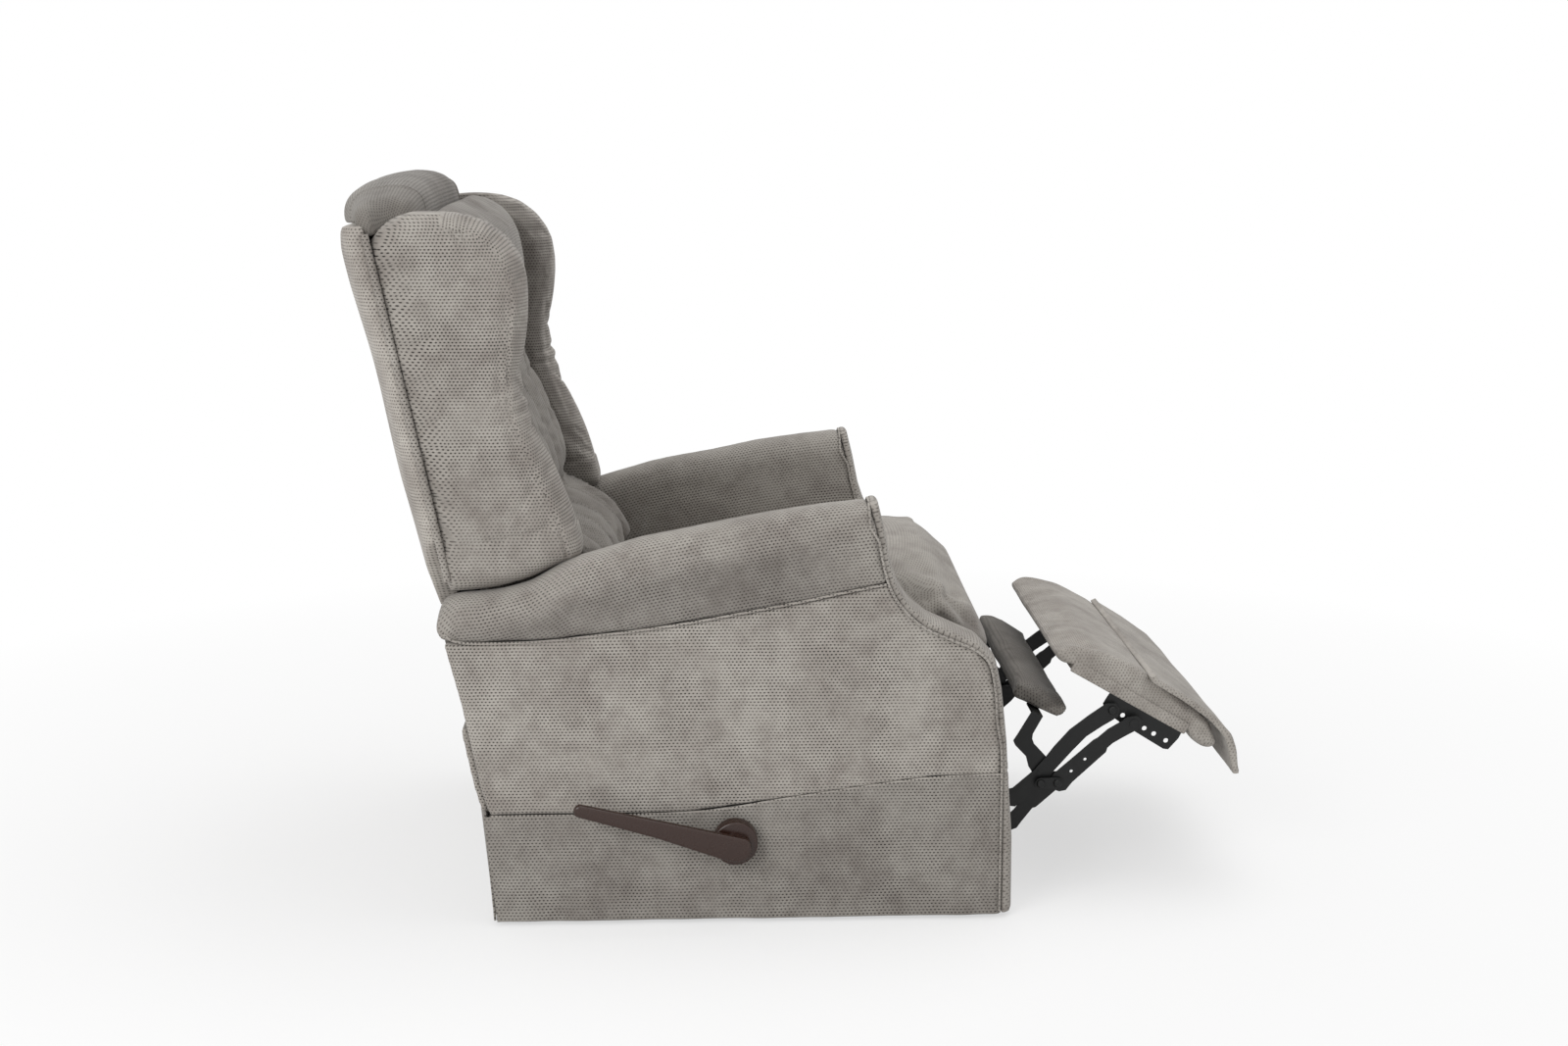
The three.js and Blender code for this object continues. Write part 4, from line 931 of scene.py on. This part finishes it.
seatLook = {
    "voxel": 0.006, "rounds": 10, "ripple": (2.6, 6.0, 71.0), "foot": 353, "evenRounds": 12,
    "puff": {"tuck": 8.0, "cap": 12.0, "slack": 0.04},
    "tall": (380, 530), "slump": 3, "sideSlump": 27, "halfWidth": 283, "slumpPower": 2.2,
    "nose": 7.5, "nosePlace": -84, "noseWidth": 24, "noseRange": (450, 500), "edge": (190, 262),
    "folds": [
        [(-70, 470), (-48, 440), (-24, 418), (-2, 404)],
        [(-84, 440), (-60, 420), (-34, 400), (-6, 384)],
    ],
    "foldPress": {"width": 8.0, "depth": 9.0, "welt": 3.0}, "foldShade": 0.45, "shadeWidth": 15,
}


def makeSeat(look):
    seat = softCopy("seat_cushion", "seatCushion", look)
    puff(seat, sideView(readPoints(seat))[:, 1] < look["foot"], **look["puff"])
    relax(seat, look["evenRounds"])
    points = readPoints(seat)
    view, out = sideView(points), np.abs(outward(points))
    nose = look["nose"] * bell(view[:, 0] - look["nosePlace"], look["noseWidth"])
    nose = nose * ease(view[:, 1], *look["noseRange"])
    slump = look["slump"] + look["sideSlump"] * (out / look["halfWidth"]) ** look["slumpPower"]
    slide(seat, 0, 0, nose - ease(view[:, 1], *look["tall"]) * slump)
    view = sideView(readPoints(seat))
    edge = ease(out, *look["edge"])
    for line in look["folds"]:
        press(seat, view, line, mask=edge, **look["foldPress"])
    ripple(seat, look["ripple"])
    view = sideView(readPoints(seat))
    gap = lineGap(view, smoothLine(look["folds"][1]))[0]
    # Painted shade along the fold beside the facing
    weaveOver(seat, view, 1 - look["foldShade"] * bell(gap, look["shadeWidth"]) * edge)
    dress(seat, "seat", "seat", "seat_cushion")


makeSeat(seatLook)


# Footrest and middle pad

padLook = {
    "voxel": 0.005, "rounds": 6, "ripple": (1.8, 8.0, 81.0), "foot": 14, "evenRounds": 8,
    "puff": {"tuck": 5.0, "cap": 7.0, "slack": 0.03},
    "rearDraw": 6, "rearRange": (-10, 40), "turnRange": (40, 200),
}
flapLook = {
    "voxel": 0.004, "rounds": 4, "ripple": (1.6, 9.0, 91.0), "reach": 20, "reachRange": (225, 290),
}
edgingLook = {
    "size": (0.207, 0.0052, 0.019), "along": 110.5, "up": 6.6, "out": 254.9, "round": 0.0022,
}
middleLook = {
    "voxel": 0.005, "rounds": 6, "ripple": (1.6, 9.0, 95.0),
    "puff": {"tuck": 4.0, "cap": 5.0, "slack": 0.03}, "frontShade": 0.36, "shadeRange": (14, 20),
}


def makeFootrestPad(look):
    pad = softCopy("footrest_pad", "footrestPad", look)
    view = padView(readPoints(pad))
    puff(pad, view[:, 1] < look["foot"], **look["puff"])
    relax(pad, look["evenRounds"])
    draw = -look["rearDraw"] * (1 - ease(view[:, 0], *look["rearRange"]))
    slide(pad, -footrestTilt, draw, 0)
    subdivide(pad)
    ripple(pad, look["ripple"])
    view = padView(readPoints(pad))
    weaveOver(pad, view, turn=1 - 2 * ease(view[:, 0], *look["turnRange"]))
    dress(pad, "pad", "footrest", "footrest_pad")


def makeFlap(look):
    flap = softCopy("front_flap", "frontFlap", look)
    reach = look["reach"] * ease(padView(readPoints(flap))[:, 0], *look["reachRange"])
    slide(flap, -footrestTilt, reach, 0)
    ripple(flap, look["ripple"])
    weaveOver(flap, padView(readPoints(flap)))
    dress(flap, "flap", "footrest", "front_flap")


def makeEdging(name, sign, look):
    cosine, sine = math.cos(footrestTilt), math.sin(footrestTilt)
    along = footrestStart[0] + look["along"] * cosine + look["up"] * sine
    up = footrestStart[1] - look["along"] * sine + look["up"] * cosine
    place = Matrix.Translation(toRow(along, sign * look["out"], up))
    bm = bmesh.new()
    bmesh.ops.create_cube(bm, size=1)
    bmesh.ops.scale(bm, verts=bm.verts, vec=Vector(look["size"]))
    roundEdges(bm, bm.edges[:], look["round"])
    turn = Matrix.Rotation(footrestTilt, 4, "Y")
    bmesh.ops.transform(bm, verts=bm.verts, matrix=place @ turn)
    edging = fromBmesh(f"padEdging_{name}", bm)
    view = padView(readPoints(edging))
    weave(edging, -view[:, 1], view[:, 0])
    dress(edging, "pad", "footrest")


def makeMiddlePad(look):
    middlePad = softCopy("middle_pad", "middlePad", look)
    puff(middlePad, np.zeros(len(readPoints(middlePad)), bool), **look["puff"])
    ripple(middlePad, look["ripple"])
    view = sideView(readPoints(middlePad))
    above = view[:, 1] - view[:, 1].min()
    # Painted shade over all but the lowest part of the pad
    weaveOver(middlePad, view, 1 - look["frontShade"] * ease(above, *look["shadeRange"]))
    dress(middlePad, "middle", "middle_pad", "middle_pad")


makeFootrestPad(padLook)
makeFlap(flapLook)
for name, sign in sides.items():
    makeEdging(name, sign, edgingLook)
makeMiddlePad(middleLook)
print("seat and footrest made")


# Lever

leverLook = {
    "hub": (-396.0, 132.0), "radius": 33.0, "hubInner": 390.0, "hubFace": 412.0, "hubRound": 0.003,
    "paddleInner": 419.0, "paddleFace": 432.0, "paddleRound": 0.0042,
    "paddle": [
        (-624, 201), (-630, 197), (-632, 190), (-629, 183), (-511.5, 148.5), (-423, 117),
        (-398, 110), (-385, 111), (-376, 117), (-372.5, 127), (-373.5, 139), (-379, 145),
    ],
    "webRadius": 0.018, "webDepth": 0.012, "webGap": 4.5, "smooth": 35,
}


def extrude(bm, face, reach):
    made = bmesh.ops.extrude_face_region(bm, geom=[face])["geom"]
    corners = [part for part in made if isinstance(part, bmesh.types.BMVert)]
    bmesh.ops.translate(bm, verts=corners, vec=Vector((0, reach / 1000, 0)))
    return next(part for part in made if isinstance(part, bmesh.types.BMFace))


def makeLever(look):
    bm = bmesh.new()
    corners = [bm.verts.new(toRow(x, -look["paddleInner"], z)) for x, z in look["paddle"]]
    extrude(bm, bm.faces.new(corners), look["paddleInner"] - look["paddleFace"])
    bmesh.ops.recalc_face_normals(bm, faces=bm.faces)
    roundEdges(bm, bm.edges[:], look["paddleRound"], 4)
    across, up = look["hub"]
    turn = Matrix.Rotation(math.pi / 2, 4, "X")
    radius = look["radius"] / 1000
    disc = bmesh.ops.create_circle(bm, cap_ends=True, segments=72, radius=radius)["verts"]
    place = Matrix.Translation(toRow(across, -look["hubInner"], up))
    bmesh.ops.transform(bm, matrix=place @ turn, verts=disc)
    cap = extrude(bm, disc[0].link_faces[0], look["hubInner"] - look["hubFace"])
    roundEdges(bm, cap.edges[:], look["hubRound"])
    web = bmesh.ops.create_cone(
        bm, cap_ends=True, segments=48, radius1=look["webRadius"], radius2=look["webRadius"],
        depth=look["webDepth"])["verts"]
    place = Matrix.Translation(toRow(across, -(look["hubFace"] + look["webGap"]), up))
    bmesh.ops.transform(bm, matrix=place @ turn, verts=web)
    bmesh.ops.recalc_face_normals(bm, faces=bm.faces)
    lever = fromBmesh("leverHandle", bm)
    dress(lever, "moulding", "lever", "lever")
    sharpen(lever, look["smooth"])


makeLever(leverLook)


# Rivets, and the metal, boards and plastic parts carried over from the frame

rivetLook = {
    "radius": 0.0065, "height": 0.0022, "taper": 0.86, "round": 0.0011, "smooth": 40,
    "spots": [
        ("footrest", "footrest_bracket", (185, 286)), ("knee_links", "knee_link", (75.5, 173)),
        ("knee_links", "knee_link", (101.5, 173.7)),
    ],
}


def makeRivet(number, spot, name, sign, look):
    body, node, (x, z) = spot
    low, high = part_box(f"{node}_{name}")
    face = low[1] if sign < 0 else high[1]
    bm = bmesh.new()
    bmesh.ops.create_cone(
        bm, cap_ends=True, segments=28, radius1=look["radius"],
        radius2=look["radius"] * look["taper"], depth=look["height"])
    roundEdges(bm, [e for e in bm.edges if all(v.co.z > 0 for v in e.verts)], look["round"])
    place = toRow(x, 0, z)
    place.y = face + sign * look["height"] / 2
    turn = Matrix.Rotation(-sign * math.pi / 2, 4, "X")
    bmesh.ops.transform(bm, verts=bm.verts, matrix=Matrix.Translation(place) @ turn)
    rivet = fromBmesh(f"rivet{number}_{name}", bm)
    dress(rivet, "steel", body)
    sharpen(rivet, look["smooth"])


for number, spot in enumerate(rivetLook["spots"], 1):
    for name, sign in sides.items():
        makeRivet(number, spot, name, sign, rivetLook)


edgeLook = {"width": 0.0005, "segments": 2}


def finishNodes():
    softNodes = {n for piece in bpy.data.objects for n in piece.get("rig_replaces", [])}
    hard = {
        "lining": ("board", "post", "seat_rail", "back_rail"),
        "wire": ("spring",), "glide": ("glide",),
    }
    for node, part in frame["nodes"].items():
        if node in softNodes:
            continue
        fits = (finish for finish, words in hard.items() if any(word in node for word in words))
        finish = next(fits, "steel")
        part.data.materials.clear()
        part.data.materials.append(finishes[finish])
        if finish == "steel":
            weld = part.modifiers.new("weld", "WELD")
            weld.merge_threshold = mergeDistance
            edge = part.modifiers.new("edge", "BEVEL")
            edge.width, edge.segments = edgeLook["width"], edgeLook["segments"]
            edge.limit_method = "ANGLE"


finishNodes()
print("metal parts finished")


# Floor and light

stageLook = {"size": 30, "floor": 0.92, "world": 0.6, "near": 0.9, "far": 2.2, "lift": 0.6}


def makeFloor(look):
    bm = bmesh.new()
    bmesh.ops.create_grid(bm, x_segments=1, y_segments=1, size=look["size"])
    floor = fromBmesh("floor", bm)
    shader = Shader(bpy.data.materials.new("floorWhite"))
    shader.finish((look["floor"],) * 3 + (1,), Roughness=1.0, Specular_IOR_Level=0.0)
    place = shader.node("ShaderNodeTexCoord", {})["Object"]
    seen = shader.node("ShaderNodeLightPath", {})["Is Camera Ray"]
    distance = shader.node("ShaderNodeVectorMath", {"operation": "LENGTH"}, i0=place)["Value"]
    far = ((distance - look["near"]) / (look["far"] - look["near"])).clamp()
    white = shader.node("ShaderNodeEmission", {}, Color=(1, 1, 1, 1), Strength=1.0)["Emission"]
    body = Wire(shader, shader.surface.outputs["BSDF"])
    factor = (far * (1 - look["lift"]) + look["lift"]) * seen
    both = shader.node("ShaderNodeMixShader", {}, i0=factor, i1=body, i2=white)["Shader"]
    shader.feed(shader.tree.nodes["Material Output"].inputs["Surface"], both)
    floor.data.materials.append(shader.owner)


def makeWorld(look):
    scene.world = bpy.data.worlds.new("studio")
    shader = Shader(scene.world, "Background")
    path = shader.node("ShaderNodeLightPath", {})
    bright = path["Is Camera Ray"].math("MAXIMUM", path["Is Glossy Ray"])
    strength = bright * (1 - look["world"]) + look["world"]
    shader.feed(shader.surface.inputs["Strength"], strength)
    shader.feed(shader.surface.inputs["Color"], (1, 1, 1, 1))


def makeLamp(name, place, target, size, power):
    data = bpy.data.lights.new(name, "AREA")
    data.shape, data.size, data.energy = "SQUARE", size, power
    lamp = bpy.data.objects.new(name, data)
    scene.collection.objects.link(lamp)
    lamp.location = place
    lamp.rotation_euler = (Vector(target) - Vector(place)).to_track_quat("-Z", "Y").to_euler()


makeFloor(stageLook)
makeWorld(stageLook)
makeLamp("key", (-2.2, -3.2, 2.2), (0, 0, 0.5), 2.0, 60.0)
makeLamp("top", (0.6, 0.4, 3.2), (0, 0, 0.4), 2.5, 35.0)

scene.view_settings.view_transform = "Standard"
print("scene complete")
